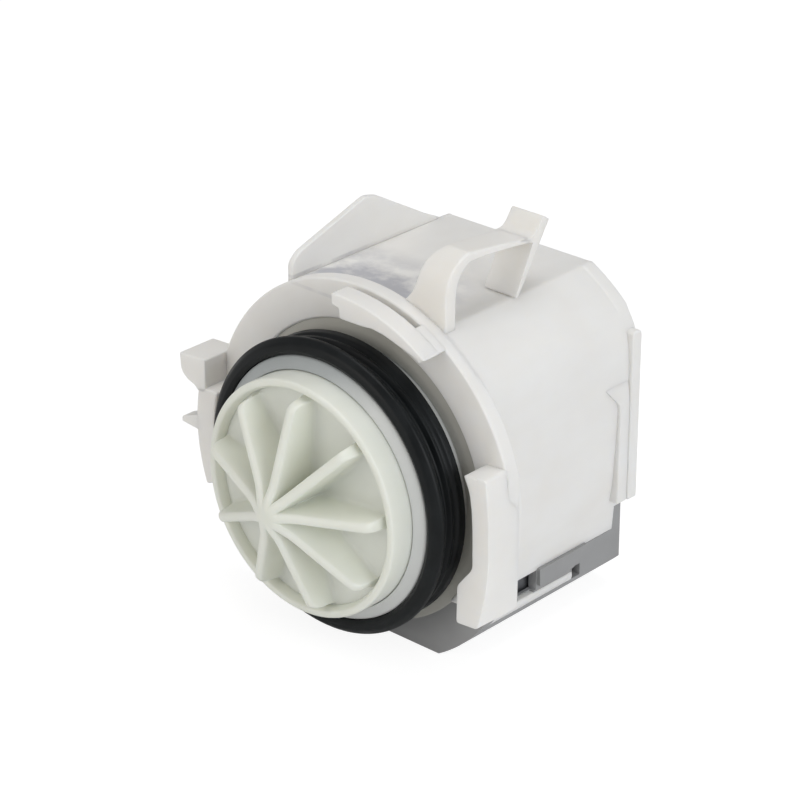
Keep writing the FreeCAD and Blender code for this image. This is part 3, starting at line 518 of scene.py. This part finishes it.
# %% Sizes of the housing
COLLAR = 39.7
COLLAR_BACK = 3.5
REAR = 47.8
TOP = 35.0
SPLIT = -20.7
WALL = 2.2
SEAT = 31.4
side_line = smooth_line([
    (28.2, -20.7), (29.4, -14.7), (30.35, -9.6), (30.75, -4.0), (31.05, 2.0), (31.25, 8.0), (31.3, 14.0),
    (31.15, 19.0), (30.4, 23.8), (28.4, 27.7),
])
roof_line = arc(COLLAR, 46.0, 61.0, 6) + [(18.95, 34.86), (18.6, 34.96), (18.1, TOP), (17.0, TOP)]
right_line = side_line + roof_line
section = right_line + [(-x, z) for x, z in reversed(right_line)]
print("outline across the housing has", len(section), "points")

# %% Rear of the housing
NOTCH_FRONT = 44.1
NOTCH_TOP = -14.7
NOTCH_LEAN = 1.0
BAND_START = 44.5
BAND_RISE = 0.9
BAND_PROUD = 0.3


def swell(y):
    """How much the roof corner stands out towards the rear, where a band stiffens it."""
    share = min(max((y - BAND_START) / BAND_RISE, 0.0), 1.0)
    return 1.0 + BAND_PROUD / COLLAR * share * share * (3.0 - 2.0 * share)


def lean(y, z):
    """How far back the edge of the notch stands at a height."""
    if y != NOTCH_FRONT:
        return 0.0
    return NOTCH_LEAN * max(NOTCH_TOP - z, 0.0) / (NOTCH_TOP - SPLIT)


print("the corner grows by", round((swell(REAR) - 1.0) * COLLAR, 2), "mm at the rear")


# %% Shell
def housing_shell():
    """The outline copied along the pump, open below, with a rear wall and notched lower corners."""
    levels = [2.5, 8.0, 15.0, 22.0, 29.0, 36.0, NOTCH_FRONT]
    levels += [BAND_START + BAND_RISE * step / 6 for step in range(7)] + [46.4, REAR]
    points = []
    for y in levels:
        for index, (x, z) in enumerate(section):
            near_roof = len(side_line) <= min(index, len(section) - 1 - index) < len(right_line) - 2
            grown = swell(y) if near_roof else 1.0
            points.append((x * grown, y + lean(y, z), z + (grown - 1.0) * abs(x)))
    count = len(section)
    cut = min(index for index, pair in enumerate(section) if pair[1] > NOTCH_TOP - 0.01)
    faces = []
    for level, y in enumerate(levels[:-1]):
        lowest = cut if y >= NOTCH_FRONT else 0
        for index in range(lowest, count - 1 - lowest):
            first = level * count + index
            faces.append([first, first + 1, first + 1 + count, first + count])
    inside = side_line[0][0] - WALL
    foot = [(-inside, REAR, NOTCH_TOP), (-inside, REAR, SPLIT), (inside, REAR, SPLIT),
            (inside, REAR, NOTCH_TOP)]
    start = (len(levels) - 1) * count
    faces.append([*range(start + cut, start + count - cut), *range(len(points), len(points) + 4)])
    return closed("housing_shell", [*points, *foot], faces)


REAR_RIM = 2.6
REAR_SINK = 0.6
MIDDLE = Vector((0.0, 20.0, 0.0)) * MM
shell = housing_shell()
work = bmesh.new()
work.from_mesh(shell.data)
rear_face = max(work.faces, key=lambda face: len(face.verts))
bmesh.ops.inset_region(work, faces=[rear_face], thickness=REAR_RIM * MM, depth=0.0)
for vert in rear_face.verts:
    vert.co.y -= REAR_SINK * MM
outwards = sum(face.normal.dot(face.calc_center_median() - MIDDLE) for face in work.faces)
if outwards < 0:
    bmesh.ops.reverse_faces(work, faces=work.faces)
work.to_mesh(shell.data)
work.free()
wall = shell.modifiers.new("wall", "SOLIDIFY")
wall.thickness = WALL * MM
wall.offset = -1.0
rolled(shell, 0.45)
dress(shell, "white_plastic", instead=["motor_housing"])
print("shell has", len(shell.data.polygons), "faces")

# %% [markdown]
# ## Collar and lugs
# The round collar is the face that meets the dishwasher's sump. Its lugs hook behind the sump's own
# when the pump is turned. They are prisms along the pump's axis, most of them cut from the same
# circle. A Boolean of a thick ring would give them too, but leaves slivers that a Bevel can't round.


# %% Collar
def level_angle(radius, z):
    """Angle at which a circle reaches a height."""
    return math.degrees(math.asin(z / radius))


def ring_part(name, outer, inner, span, width, flat):
    """Ring that stops at the split line of the base, cut flat at the right up to an angle."""
    start, stop = level_angle(outer, SPLIT), level_angle(inner, SPLIT)
    outline = arc(outer, start, -flat, 6) + arc(outer, flat, 180 - start, 80)
    outline += arc(inner, 180 - stop, stop, 80)
    return rolled(prism(name, outline, span), width)


dress(ring_part("collar", COLLAR, SEAT, (0.0, COLLAR_BACK), 0.5, 15.25), "white_plastic")
dress(ring_part("collar_ledge", COLLAR - WALL, 28.0, (3.1, 5.3), 0.2, 2.0), "white_plastic")

# %% Right lug
LUG_FRONT = -6.2
LUG_BACK = COLLAR_BACK - 0.1
LUG_INSIDE = [(31.1, -11.8, 1.0), (34.9, -7.0, 1.0), (34.8, 3.0, 3.0), (34.1, 9.0, 2.0)]
lug_front = rounded([
    (32.5, 12.3, 0.5), (38.0, 12.8, 0.8), (38.9, 4.0), (39.0, -6.0, 3.0), (38.2, -12.2, 2.0),
    (36.3, -19.6, 0.7), (31.0, -20.0, 0.7), *LUG_INSIDE,
], 2.0)
lug_rear = rounded([
    (32.5, 12.3, 0.5), (37.6, 12.8, 0.8), (38.3, 4.0), (38.3, -6.0, 3.0), (38.3, -12.2, 2.0),
    (38.2, -18.3, 0.7), (31.0, -18.8, 0.7), *LUG_INSIDE,
], 2.0)
right_lug = lofted("right_lug", [
    [(x, LUG_FRONT, z) for x, z in lug_front], [(x, LUG_BACK, z) for x, z in lug_rear],
])
dress(rolled(right_lug, 0.55), "white_plastic")

# %% Left lug, its tooth and its spike
LEFT_INNER = 34.4
left_lug = arc(COLLAR, 168.0, 200.0, 16) + arc(LEFT_INNER, 200.0, 166.2, 16)
left_piece = prism("left_lug", left_lug, (LUG_FRONT, LUG_BACK))
dress(rolled(left_piece, 0.5), "white_plastic")
tooth = rounded([
    (-36.8, 14.5, 0.4), (-36.8, 7.0, 0.0), (-39.0, 7.0, 0.0), (-40.0, 7.9, 0.0), (-42.3, 8.7, 1.4),
    (-43.9, 10.3, 1.2), (-44.1, 14.1, 0.4),
], 0.4)
dress(rolled(prism("left_tooth", tooth, (LUG_FRONT, LUG_BACK - 0.1)), 0.4), "white_plastic")
spike = rounded([(-38.0, 2.0), (-38.0, -2.0), (-44.0, -1.4), (-44.0, -0.3)], 0.3)
dress(rolled(prism("left_spike", spike, (LUG_FRONT + 0.1, -2.8)), 0.3), "white_plastic")


# %% Top lug
def polar(*pairs):
    """Points from pairs of radius and angle."""
    return [(r * math.cos(math.radians(a)), r * math.sin(math.radians(a))) for r, a in pairs]


ROOT_INNER = 37.4
top_plate = arc(COLLAR, 55.5, 92.0, 22) + polar(
    (37.2, 92.2), (36.9, 89.4), (34.8, 88.9), (35.0, 84.0), (35.4, 80.0), (36.3, 75.5),
    (36.8, 71.0), (37.1, 66.5), (37.7, 61.0), (38.3, 58.0), (39.0, 55.8),
)
dress(rolled(prism("top_lug", top_plate, (LUG_FRONT, -1.6)), 0.45), "white_plastic")
top_root = arc(COLLAR - 0.05, 55.8, 66.0, 8) + arc(ROOT_INNER, 66.0, 56.8, 8)
dress(rolled(prism("top_lug_root", top_root, (LUG_FRONT + 0.6, LUG_BACK)), 0.4), "white_plastic")
print("collar and lugs are on")

# %% [markdown]
# ## Fin, rims and strap
# The fin stands along the left of the roof. The rims edge the rear of the housing, and the straps
# run along it under the clips of the base. Each is an outline pushed along the pump or across it,
# or a short loft.

# %% Fin
FIN_SPAN = (-21.0, -19.6)
fin_outline = rounded([
    (2.0, 33.5, 0.0), (2.0, 37.8, 1.2), (4.2, 39.75, 1.2), (23.4, 45.8, 0.9), (26.8, 45.0, 1.2),
    (42.4, 36.2, 1.5), (46.0, 34.5, 0.4), (46.0, 33.5, 0.0),
], 1.0)
dress(rolled(prism("fin", fin_outline, FIN_SPAN, "x"), 0.3), "white_plastic")

# %% Rims and strips at the rear
STRIP_PROFILE = [
    (-12.75, 41.9, 31.9), (-12.3, 41.9, 31.95), (4.0, 41.9, 31.95), (8.4, 41.9, 31.95),
    (9.5, 41.6, 31.9), (10.6, 40.8, 31.85), (12.2, 39.2, 31.7), (13.4, 38.0, 31.45), (14.6, 36.8, 31.1),
]
SIDES = ((1, "right"), (-1, "left"))
for side, word in SIDES:
    strip = lofted(f"rear_strip_{word}", [
        [(side * 28.0, front, z), (side * reach, front, z), (side * reach, 44.9, z), (side * 28.0, 44.9, z)]
        for z, front, reach in STRIP_PROFILE
    ])
    dress(rolled(strip, 0.3), "white_plastic")
    rim = rounded([(44.95, -12.8), (47.75, -12.8), (47.75, 24.4, 1.2), (44.95, 24.4, 1.0)], 0.5)
    rim_piece = prism(f"rear_rim_{word}", rim, (side * 28.0, side * 32.2), "x")
    dress(rolled(rim_piece, 0.5), "white_plastic")

# %% Straps
STRAP_TOP = -25.4
STRAP_BOTTOM = -28.2
for side, word in SIDES:
    bar = [(side * x, z) for x, z in (
        (26.7, STRAP_TOP), (28.35, STRAP_TOP), (28.4, -26.5), (27.9, STRAP_BOTTOM), (26.7, STRAP_BOTTOM),
    )]
    dress(rolled(prism(f"strap_{word}", bar, (2.4, 32.5)), 0.3, angle=15.0), "white_plastic")
    root_low = STRAP_BOTTOM + 0.2
    root = [(0.4, SPLIT), (2.6, root_low), (4.9, root_low), (4.9, SPLIT)]
    root_piece = prism(f"strap_root_{word}", root, (side * 26.8, side * 28.2), "x")
    dress(rolled(root_piece, 0.35), "white_plastic")
print("fin, rims and straps are on")

# %% [markdown] ## Release arm The arm is one moulding with the housing. It stands on the roof just
# behind the collar, turns back over the roof, and ends in a leaning hook plate with a tab for a
# fingertip.

# %% Arm
ARM_RIGHT = 19.8
arm_stations = [
    (2.9, 33.6, 5.9, 33.6, 6.6), (2.9, 36.4, 5.9, 36.4, 7.6), (2.9, 37.8, 5.9, 37.4, 8.5),
    (2.9, 39.0, 5.9, 38.4, 9.7), (2.9, 40.4, 5.9, 39.6, 10.9), (2.95, 42.0, 5.95, 41.0, 11.7),
    (3.3, 43.6, 6.1, 42.4, 12.1), (3.9, 45.2, 6.5, 43.6, 12.3), (4.9, 46.6, 7.2, 44.8, 12.5),
    (6.3, 47.7, 8.2, 45.8, 12.8), (7.9, 48.5, 9.2, 46.5, 13.3), (9.5, 49.1, 10.2, 46.9, 13.8),
    (14.2, 48.4, 14.2, 46.85, 13.3), (19.3, 47.75, 19.3, 46.4, 12.8),
    (24.0, 47.0, 24.0, 45.9, 12.5), (27.6, 46.4, 27.6, 45.3, 12.4),
]
arm_loops = [
    [(near, out_y, out_z), (ARM_RIGHT, out_y, out_z), (ARM_RIGHT, in_y, in_z), (near, in_y, in_z)]
    for out_y, out_z, in_y, in_z, near in arm_stations
]
arm = rolled(lofted("release_arm", arm_loops), 0.45, angle=25.0)
dress(arm, "white_plastic", finish="thin_plastic", body=None, instead=["release_latch"])
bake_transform(arm)

# %% Hook plate and tab
hook = rounded([
    (23.25, 35.25, 0.2), (28.3, 45.3, 0.0), (27.0, 45.6, 0.0), (24.5, 46.7, 0.0), (28.6, 46.4, 1.8),
    (31.3, 50.05, 0.5), (33.0, 48.9, 0.5), (24.15, 35.25, 0.2),
], 0.3)
hook_piece = rolled(prism("hook_plate", hook, (11.8, ARM_RIGHT - 0.02), "x"), 0.4)
dress(hook_piece, "white_plastic", finish="thin_plastic", body="latch")
print("arm has", len(arm.data.polygons), "faces")

# %% [markdown]
# ## Grey base
# The base closes the housing from below and holds the socket for the plug. The CAD part already has
# its shape, so a copy of it is welded and its edges are rolled. The slots beside the clips are cut
# again by a Boolean, right through the wall, because on the pump they are dark and deep. The clips
# are cut off too and made anew, with the slanted rear end that lets them slide over the strap.


# %% Turning an evaluated object into a plain mesh
def plain(piece, name):
    """Plain copy of an object with its modifiers worked in."""
    graph = bpy.context.evaluated_depsgraph_get()
    graph.update()
    mesh = bpy.data.meshes.new_from_object(piece.evaluated_get(graph))
    mesh.name = name
    return mesh


# %% Copies of CAD parts with rolled edges
def softened(node_name, width):
    """Welded copy of a CAD part whose edges get rolled."""
    mesh = frame["nodes"][node_name].data.copy()
    work = bmesh.new()
    work.from_mesh(mesh)
    bmesh.ops.remove_doubles(work, verts=work.verts, dist=0.002 * MM)
    bmesh.ops.dissolve_limit(
        work, angle_limit=math.radians(0.6), verts=work.verts, edges=work.edges,
    )
    for face in work.faces:
        face.smooth = True
    work.to_mesh(mesh)
    work.free()
    piece = linked(f"{node_name}_soft", mesh)
    print(node_name, len(mesh.polygons), "faces")
    return rolled(piece, width)


def opened(piece, low, high):
    """Cuts a box through a piece."""
    points = [(x, y, z) for x in (low[0], high[0]) for y in (low[1], high[1]) for z in (low[2], high[2])]
    sides = [[0, 1, 3, 2], [4, 5, 7, 6], [0, 1, 5, 4], [2, 3, 7, 6], [0, 2, 6, 4], [1, 3, 7, 5]]
    block = closed("block", points, sides)
    cutter = piece.modifiers.new("opening", "BOOLEAN")
    cutter.operation = "DIFFERENCE"
    cutter.solver = "EXACT"
    cutter.object = block
    piece.modifiers.move(len(piece.modifiers) - 1, 0)
    edges = piece.modifiers["edges"]
    edges.show_viewport = False
    piece.data = plain(piece, piece.name)
    edges.show_viewport = True
    piece.modifiers.remove(cutter)
    bpy.data.objects.remove(block)
    return piece


# %% Base, its slots and its clips
CLIP_REACH = 29.1
SLOT = ((24.6, 15.7, -25.2), (29.0, 21.2, -20.2))
OLD_CLIP = ((28.22, 20.0, -25.9), (30.0, 36.0, -20.0))
STRAP_END = ((26.0, 32.4, -27.2), (29.0, 35.0, -24.6))
clip = rounded([
    (21.3, -20.3), (21.4, -24.25, 0.5), (32.0, -24.1, 0.6), (36.2, -20.9, 0.3), (36.2, -20.3),
], 0.1)
base = softened("base_cover", 0.3)
for side, word in SIDES:
    for low, high in (SLOT, OLD_CLIP, STRAP_END):
        near, far = sorted((side * low[0], side * high[0]))
        base = opened(base, (near, *low[1:]), (far, *high[1:]))
    piece = prism(f"base_clip_{word}", clip, (side * 27.6, side * CLIP_REACH), "x")
    dress(rolled(piece, 0.35), "grey_plastic")
dress(base, "grey_plastic", instead=["base_cover"])
socket_shell = softened("connector_socket", 0.3)
dress(socket_shell, "grey_plastic", instead=["connector_socket"])
print("base is on")

# %% [markdown]
# ## Pump neck and seal
# The neck is the smooth grey tube in which the impeller runs, in one piece with the can of the
# rotor. Both it and the seal are round, so their outlines are spun. Its seat in the collar is a ring
# of its own here, painted darker and warmer than the tube: painted shade with a warm bounce, as the
# collar's white plastic looks in the seal's shadow.

# %% Neck and rotor can
neck_outline = rounded([
    (25.6, -9.4, 0.1), (24.75, -10.4, 0.1), (24.78, -12.0, 0.35), (27.35, -10.8, 0.5),
    (27.4, 0.9, 0.1), (31.0, 0.9, 0.4), (31.0, 3.0, 0.2),
    (13.0, 3.0, 0.4), (13.0, 38.6, 0.8), (0.01, 38.6, 0.0), (0.01, 37.4, 0.0), (6.2, 37.4, 0.0),
    (6.2, 32.1, 0.0), (7.4, 32.1, 0.0), (7.4, 37.4, 0.0), (11.8, 37.4, 0.0), (11.8, 0.8, 0.0),
    (25.6, 0.8, 0.0),
], 0.1)
neck = turned("neck_and_can", neck_outline)
FINE_EDGE = 0.05
dress(rolled(neck, FINE_EDGE, segments=1), "neck_plastic", instead=["rotor_can"])

# %% Seat of the neck
seat_outline = rounded([(27.5, 0.55), (31.7, 0.55), (31.7, 2.9), (27.5, 2.9)], 0.1)
# painted shade: the seat is painted darker and warmer than the tube
dress(turned("neck_seat", seat_outline), "neck_plastic", finish="seat_plastic")

# %% Lip seal
seal_outline = rounded([
    (27.5, -10.9, 0.1), (28.4, -11.45, 0.2), (29.7, -11.2, 0.5), (30.8, -10.0, 0.4), (30.8, -9.2, 0.12),
    (29.3, -9.0, 0.3), (28.5, -7.8, 0.5), (28.5, -6.5, 0.3), (29.5, -5.9, 0.1), (29.6, -5.4, 0.1),
    (29.0, -5.0, 0.3), (29.3, -4.4, 0.3), (29.8, -3.9, 0.3), (30.0, -2.5, 0.12), (28.2, -2.0, 0.3),
    (27.5, -1.6, 0.1),
], 0.2)
seal = turned("lip_seal", seal_outline)
dress(rolled(seal, FINE_EDGE, segments=1), "seal_rubber", instead=["seal_ring"])
print("neck and seal are turned")

# %% [markdown]
# ## Impeller
# The impeller is a shallow dish with nine straight vanes that stand ahead of its rim, and a skirt
# behind it that nearly closes the neck. The back and the rim are turned. The front is nine equal
# sectors, each with one vane whose foot flows into the floor and whose root flows into its
# neighbours, as moulded corners do. One sector is drawn, and Geometry Nodes copy it round the
# axis; the number of sectors and the angle of the first are inputs of the tree.

# %% Back and rim
FLOOR = -15.1
dish_outline = rounded([
    (1.55, -8.2, 0.0), (4.2, -8.2, 0.2), (4.2, -13.6, 0.4), (22.8, -13.6, 0.4), (22.8, -8.2, 0.3),
    (23.7, -8.2, 0.2), (24.65, -9.1, 0.5), (24.65, -17.35, 1.0), (23.15, -17.35, 0.45), (22.6, -15.9, 0.3),
    (22.5, -14.9, 0.1), (21.9, -14.3, 0.1), (3.0, -14.3, 0.0), (1.55, -22.1, 0.0),
], 0.2, steps=5)
dish = turned("impeller_dish", dish_outline)

# %% Height of the front along one vane
VANES = 9
RING_EDGE = 23.0
CREST = smooth_line([
    (0.0, -27.05), (1.2, -26.98), (2.3, -26.72), (3.5, -26.25), (5.0, -25.55), (7.0, -24.75),
    (10.0, -23.95), (14.0, -22.85), (18.0, -21.75), (20.0, -21.15), (20.8, -20.8), (21.35, -20.2),
    (21.7, -19.2), (21.85, -17.8), (21.95, -16.3), (22.1, -15.4), (22.35, FLOOR),
], steps=2)
HALF_CREST = 1.05
HALF_FOOT = 1.35
ROUND = 0.8
FILLET = 0.9
THIN = 0.01


def vane_profile(radius, crest):
    """Offsets from the vane's middle and heights, from the crest down to the floor."""
    height = FLOOR - crest
    shrink = min(1.0, height / (ROUND + FILLET + THIN))
    calm = min(max((radius - 1.0) / 4.0, 0.05), 1.0)
    top, low = ROUND * shrink * calm, FILLET * shrink
    profile = []
    for angle in range(0, 91, 15):
        turn = math.radians(angle)
        profile.append((HALF_CREST * math.sin(turn), crest + top * (1.0 - math.cos(turn))))
    for share in (0.25, 0.5, 0.75):
        fall = crest + top + (FLOOR - low - crest - top) * share
        profile.append((HALF_CREST + (HALF_FOOT - HALF_CREST) * share, fall))
    for angle in range(0, 91, 18):
        turn = math.radians(angle)
        offset = HALF_FOOT + low * (1.0 - math.cos(turn))
        profile.append((offset, FLOOR - low * (1.0 - math.sin(turn))))
    return profile


def limited(profile, widest):
    """The part of a profile inside the sector, its last points drawn in to the border."""
    made = []
    for offset, height in profile:
        if offset > widest:
            before = made[-1]
            share = (widest - before[0]) / (offset - before[0]) if offset > before[0] else 0.0
            height = before[1] + (height - before[1]) * share
            offset = widest
        made.append((offset, height))
    return made


# %% One sector
def sector_mesh():
    """Front face of one sector: its vane in the middle and floor on both sides."""
    border = math.pi / VANES
    rows = []
    for radius, crest in CREST:
        widest = radius * border
        profile = limited(vane_profile(radius, min(crest, FLOOR - 2 * THIN)), widest)
        last = profile[-1][0]
        profile += [(last + (widest - last) * step / 4, FLOOR if last < widest else profile[-1][1])
                    for step in range(1, 5)]
        half = [(offset / radius if radius > 0 else 0.0, height) for offset, height in profile]
        angles = [(-angle, height) for angle, height in reversed(half)] + half[1:]
        rows.append([(radius * math.cos(a), y, radius * math.sin(a)) for a, y in angles])
    count = len(rows[0])
    grow = RING_EDGE / CREST[-1][0]
    rows.append([(grow * x, FLOOR, grow * z) for x, y, z in rows[-1]])
    points = [point for row in rows for point in row]
    faces = []
    for start in range(0, len(points) - count, count):
        for index in range(count - 1):
            first = start + index
            faces.append([first, first + 1, first + 1 + count, first + count])
    return closed("vane_sector", points, faces)


vane = sector_mesh()
print("one sector has", len(vane.data.polygons), "faces")


# %% Tree that sets sectors round the axis
def ring_tree():
    """Tree that sets copies of a sector round the Y axis, and the identifiers of its inputs."""
    tree = bpy.data.node_groups.new("sector_ring", "GeometryNodeTree")
    face = tree.interface
    face.new_socket("Geometry", in_out="OUTPUT", socket_type="NodeSocketGeometry")
    sector_input = face.new_socket("Sector", in_out="INPUT", socket_type="NodeSocketObject")
    count_input = face.new_socket("Count", in_out="INPUT", socket_type="NodeSocketInt")
    phase_input = face.new_socket("First angle", in_out="INPUT", socket_type="NodeSocketFloat")
    finish_input = face.new_socket("Finish", in_out="INPUT", socket_type="NodeSocketMaterial")

    def add(kind, **settings):
        node = tree.nodes.new(kind)
        for key, setting in settings.items():
            setattr(node, key, setting)
        return node

    given = add("NodeGroupInput")
    places = add("GeometryNodeMeshLine", mode="OFFSET")
    places.inputs["Offset"].default_value = (0.0, 0.0, 0.0)
    index = add("GeometryNodeInputIndex")
    share = add("ShaderNodeMath", operation="DIVIDE")
    angle = add("ShaderNodeMath", operation="MULTIPLY_ADD")
    angle.inputs[1].default_value = -2 * math.pi
    spin = add("ShaderNodeCombineXYZ")
    source = add("GeometryNodeObjectInfo")
    copies = add("GeometryNodeInstanceOnPoints")
    real = add("GeometryNodeRealizeInstances")
    painted = add("GeometryNodeSetMaterial")
    out = add("NodeGroupOutput")
    link = tree.links.new
    link(given.outputs["Count"], places.inputs["Count"])
    link(index.outputs[0], share.inputs[0])
    link(given.outputs["Count"], share.inputs[1])
    link(share.outputs[0], angle.inputs[0])
    link(given.outputs["First angle"], angle.inputs[2])
    link(angle.outputs[0], spin.inputs["Y"])
    link(given.outputs["Sector"], source.inputs["Object"])
    link(places.outputs["Mesh"], copies.inputs["Points"])
    link(source.outputs["Geometry"], copies.inputs["Instance"])
    link(spin.outputs[0], copies.inputs["Rotation"])
    link(copies.outputs["Instances"], real.inputs["Geometry"])
    link(real.outputs["Geometry"], painted.inputs["Geometry"])
    link(given.outputs["Finish"], painted.inputs["Material"])
    link(painted.outputs["Geometry"], out.inputs["Geometry"])
    sockets = (sector_input, count_input, phase_input, finish_input)
    return tree, {socket.name: socket.identifier for socket in sockets}


FIRST_ANGLE = math.radians(-6.3)
tree, inputs = ring_tree()
ring = linked("impeller_vanes", bpy.data.meshes.new("impeller_vanes"))
nodes = ring.modifiers.new("sectors", "NODES")
nodes.node_group = tree
nodes[inputs["Sector"]] = vane
nodes[inputs["Count"]] = VANES
nodes[inputs["First angle"]] = FIRST_ANGLE
nodes[inputs["Finish"]] = finishes["impeller_plastic"]
ring.data = plain(ring, "impeller_vanes")
ring.modifiers.clear()
bpy.data.objects.remove(vane)
print("nine sectors have", len(ring.data.polygons), "faces")

# %% Closing the front
RING_DEPTH = 0.7
work = bmesh.new()
work.from_mesh(ring.data)
bmesh.ops.remove_doubles(work, verts=work.verts, dist=0.01 * MM)
rim_edges = [edge for edge in work.edges if edge.is_boundary]
grown = bmesh.ops.extrude_edge_only(work, edges=rim_edges)["geom"]
for vert in grown:
    if isinstance(vert, bmesh.types.BMVert):
        vert.co.y = (FLOOR + RING_DEPTH) * MM
bmesh.ops.holes_fill(work, edges=[edge for edge in work.edges if edge.is_boundary], sides=0)
bmesh.ops.recalc_face_normals(work, faces=work.faces)
for face in work.faces:
    face.smooth = len(face.verts) < 5
work.to_mesh(ring.data)
work.free()
dress(dish, "impeller_plastic", body="rotor", instead=["impeller"])
dress(ring, "impeller_plastic", body="rotor")
print("vanes:", VANES, "with", len(ring.data.polygons), "faces")

# %% [markdown]
# ## Studio
# The pump stands on a white table in even light. A soft lamp at the right makes the side the
# brightest face, a weaker one at the front keeps the face of the impeller open, a third above lights
# the roof, and a little light comes from everywhere.

# %% Floor
FLOOR_SIZE = 3.0
floor_mesh = bpy.data.meshes.new("floor")
half = FLOOR_SIZE / 2
floor_level = cad_box[0][Z] - 0.02 * MM
floor_mesh.from_pydata(
    [(-half, -half, floor_level), (half, -half, floor_level), (half, half, floor_level),
     (-half, half, floor_level)],
    [], [(0, 1, 2, 3)],
)
floor = linked("floor", floor_mesh)

paper = Recipe("white_paper")
sheet = paper.node("ShaderNodeBsdfDiffuse", {}, {"Color": colour(0.9, 0.9, 0.9)})
glow = paper.node("ShaderNodeEmission", {}, {"Color": colour(1.0, 1.0, 1.0), "Strength": 1.25})
seen = paper.node("ShaderNodeLightPath", output="Is Camera Ray")
blend = paper.node("ShaderNodeMixShader", {}, {0: seen * 0.7, 1: sheet, 2: glow})
paper_end = paper.tree.nodes.new("ShaderNodeOutputMaterial")
paper.tree.links.new(blend.socket, paper_end.inputs["Surface"])
floor.data.materials.append(paper.material)
print("floor lies at", round(floor_level / MM, 2), "mm")

# %% World and lamps
world = bpy.data.worlds.new("studio")
world.use_nodes = True
bpy.context.scene.world = world
sky = world.node_tree
sky.nodes.clear()
sky_end = sky.nodes.new("ShaderNodeOutputWorld")
room = sky.nodes.new("ShaderNodeBackground")
room.inputs["Color"].default_value = colour(1.0, 1.0, 1.0)
room.inputs["Strength"].default_value = 0.36
backdrop = sky.nodes.new("ShaderNodeBackground")
backdrop.inputs["Color"].default_value = colour(1.0, 1.0, 1.0)
backdrop.inputs["Strength"].default_value = 1.0
path = sky.nodes.new("ShaderNodeLightPath")
choice = sky.nodes.new("ShaderNodeMixShader")
sky.links.new(path.outputs["Is Camera Ray"], choice.inputs[0])
sky.links.new(room.outputs[0], choice.inputs[1])
sky.links.new(backdrop.outputs[0], choice.inputs[2])
sky.links.new(choice.outputs[0], sky_end.inputs["Surface"])


def lamp(name, place, size, power, tint=(1.0, 1.0, 1.0)):
    """Round soft lamp that looks at the pump; the place is in metres, the power in watts."""
    data = bpy.data.lights.new(name, "AREA")
    data.shape = "DISK"
    data.size = size
    data.energy = power
    data.color = tint
    lit = bpy.data.objects.new(name, data)
    bpy.context.scene.collection.objects.link(lit)
    aim = -Vector(place).normalized()
    facing = aim.to_track_quat("-Z", "Y").to_matrix().to_4x4()
    lit.matrix_world = Matrix.Translation(Vector(place)) @ facing


lamp("key", (0.9, -0.1, 0.35), 0.8, 3.7, (0.93, 0.96, 1.0))
lamp("fill", (-0.25, -0.9, 0.35), 0.9, 2.6, (1.0, 0.97, 0.92))
lamp("top", (0.0, 0.1, 0.9), 0.7, 2.55)

view = bpy.context.scene.view_settings
view.view_transform = "Standard"
print("lamps:", [light.name for light in bpy.data.lights])

# %% [markdown]
# ## Sizes
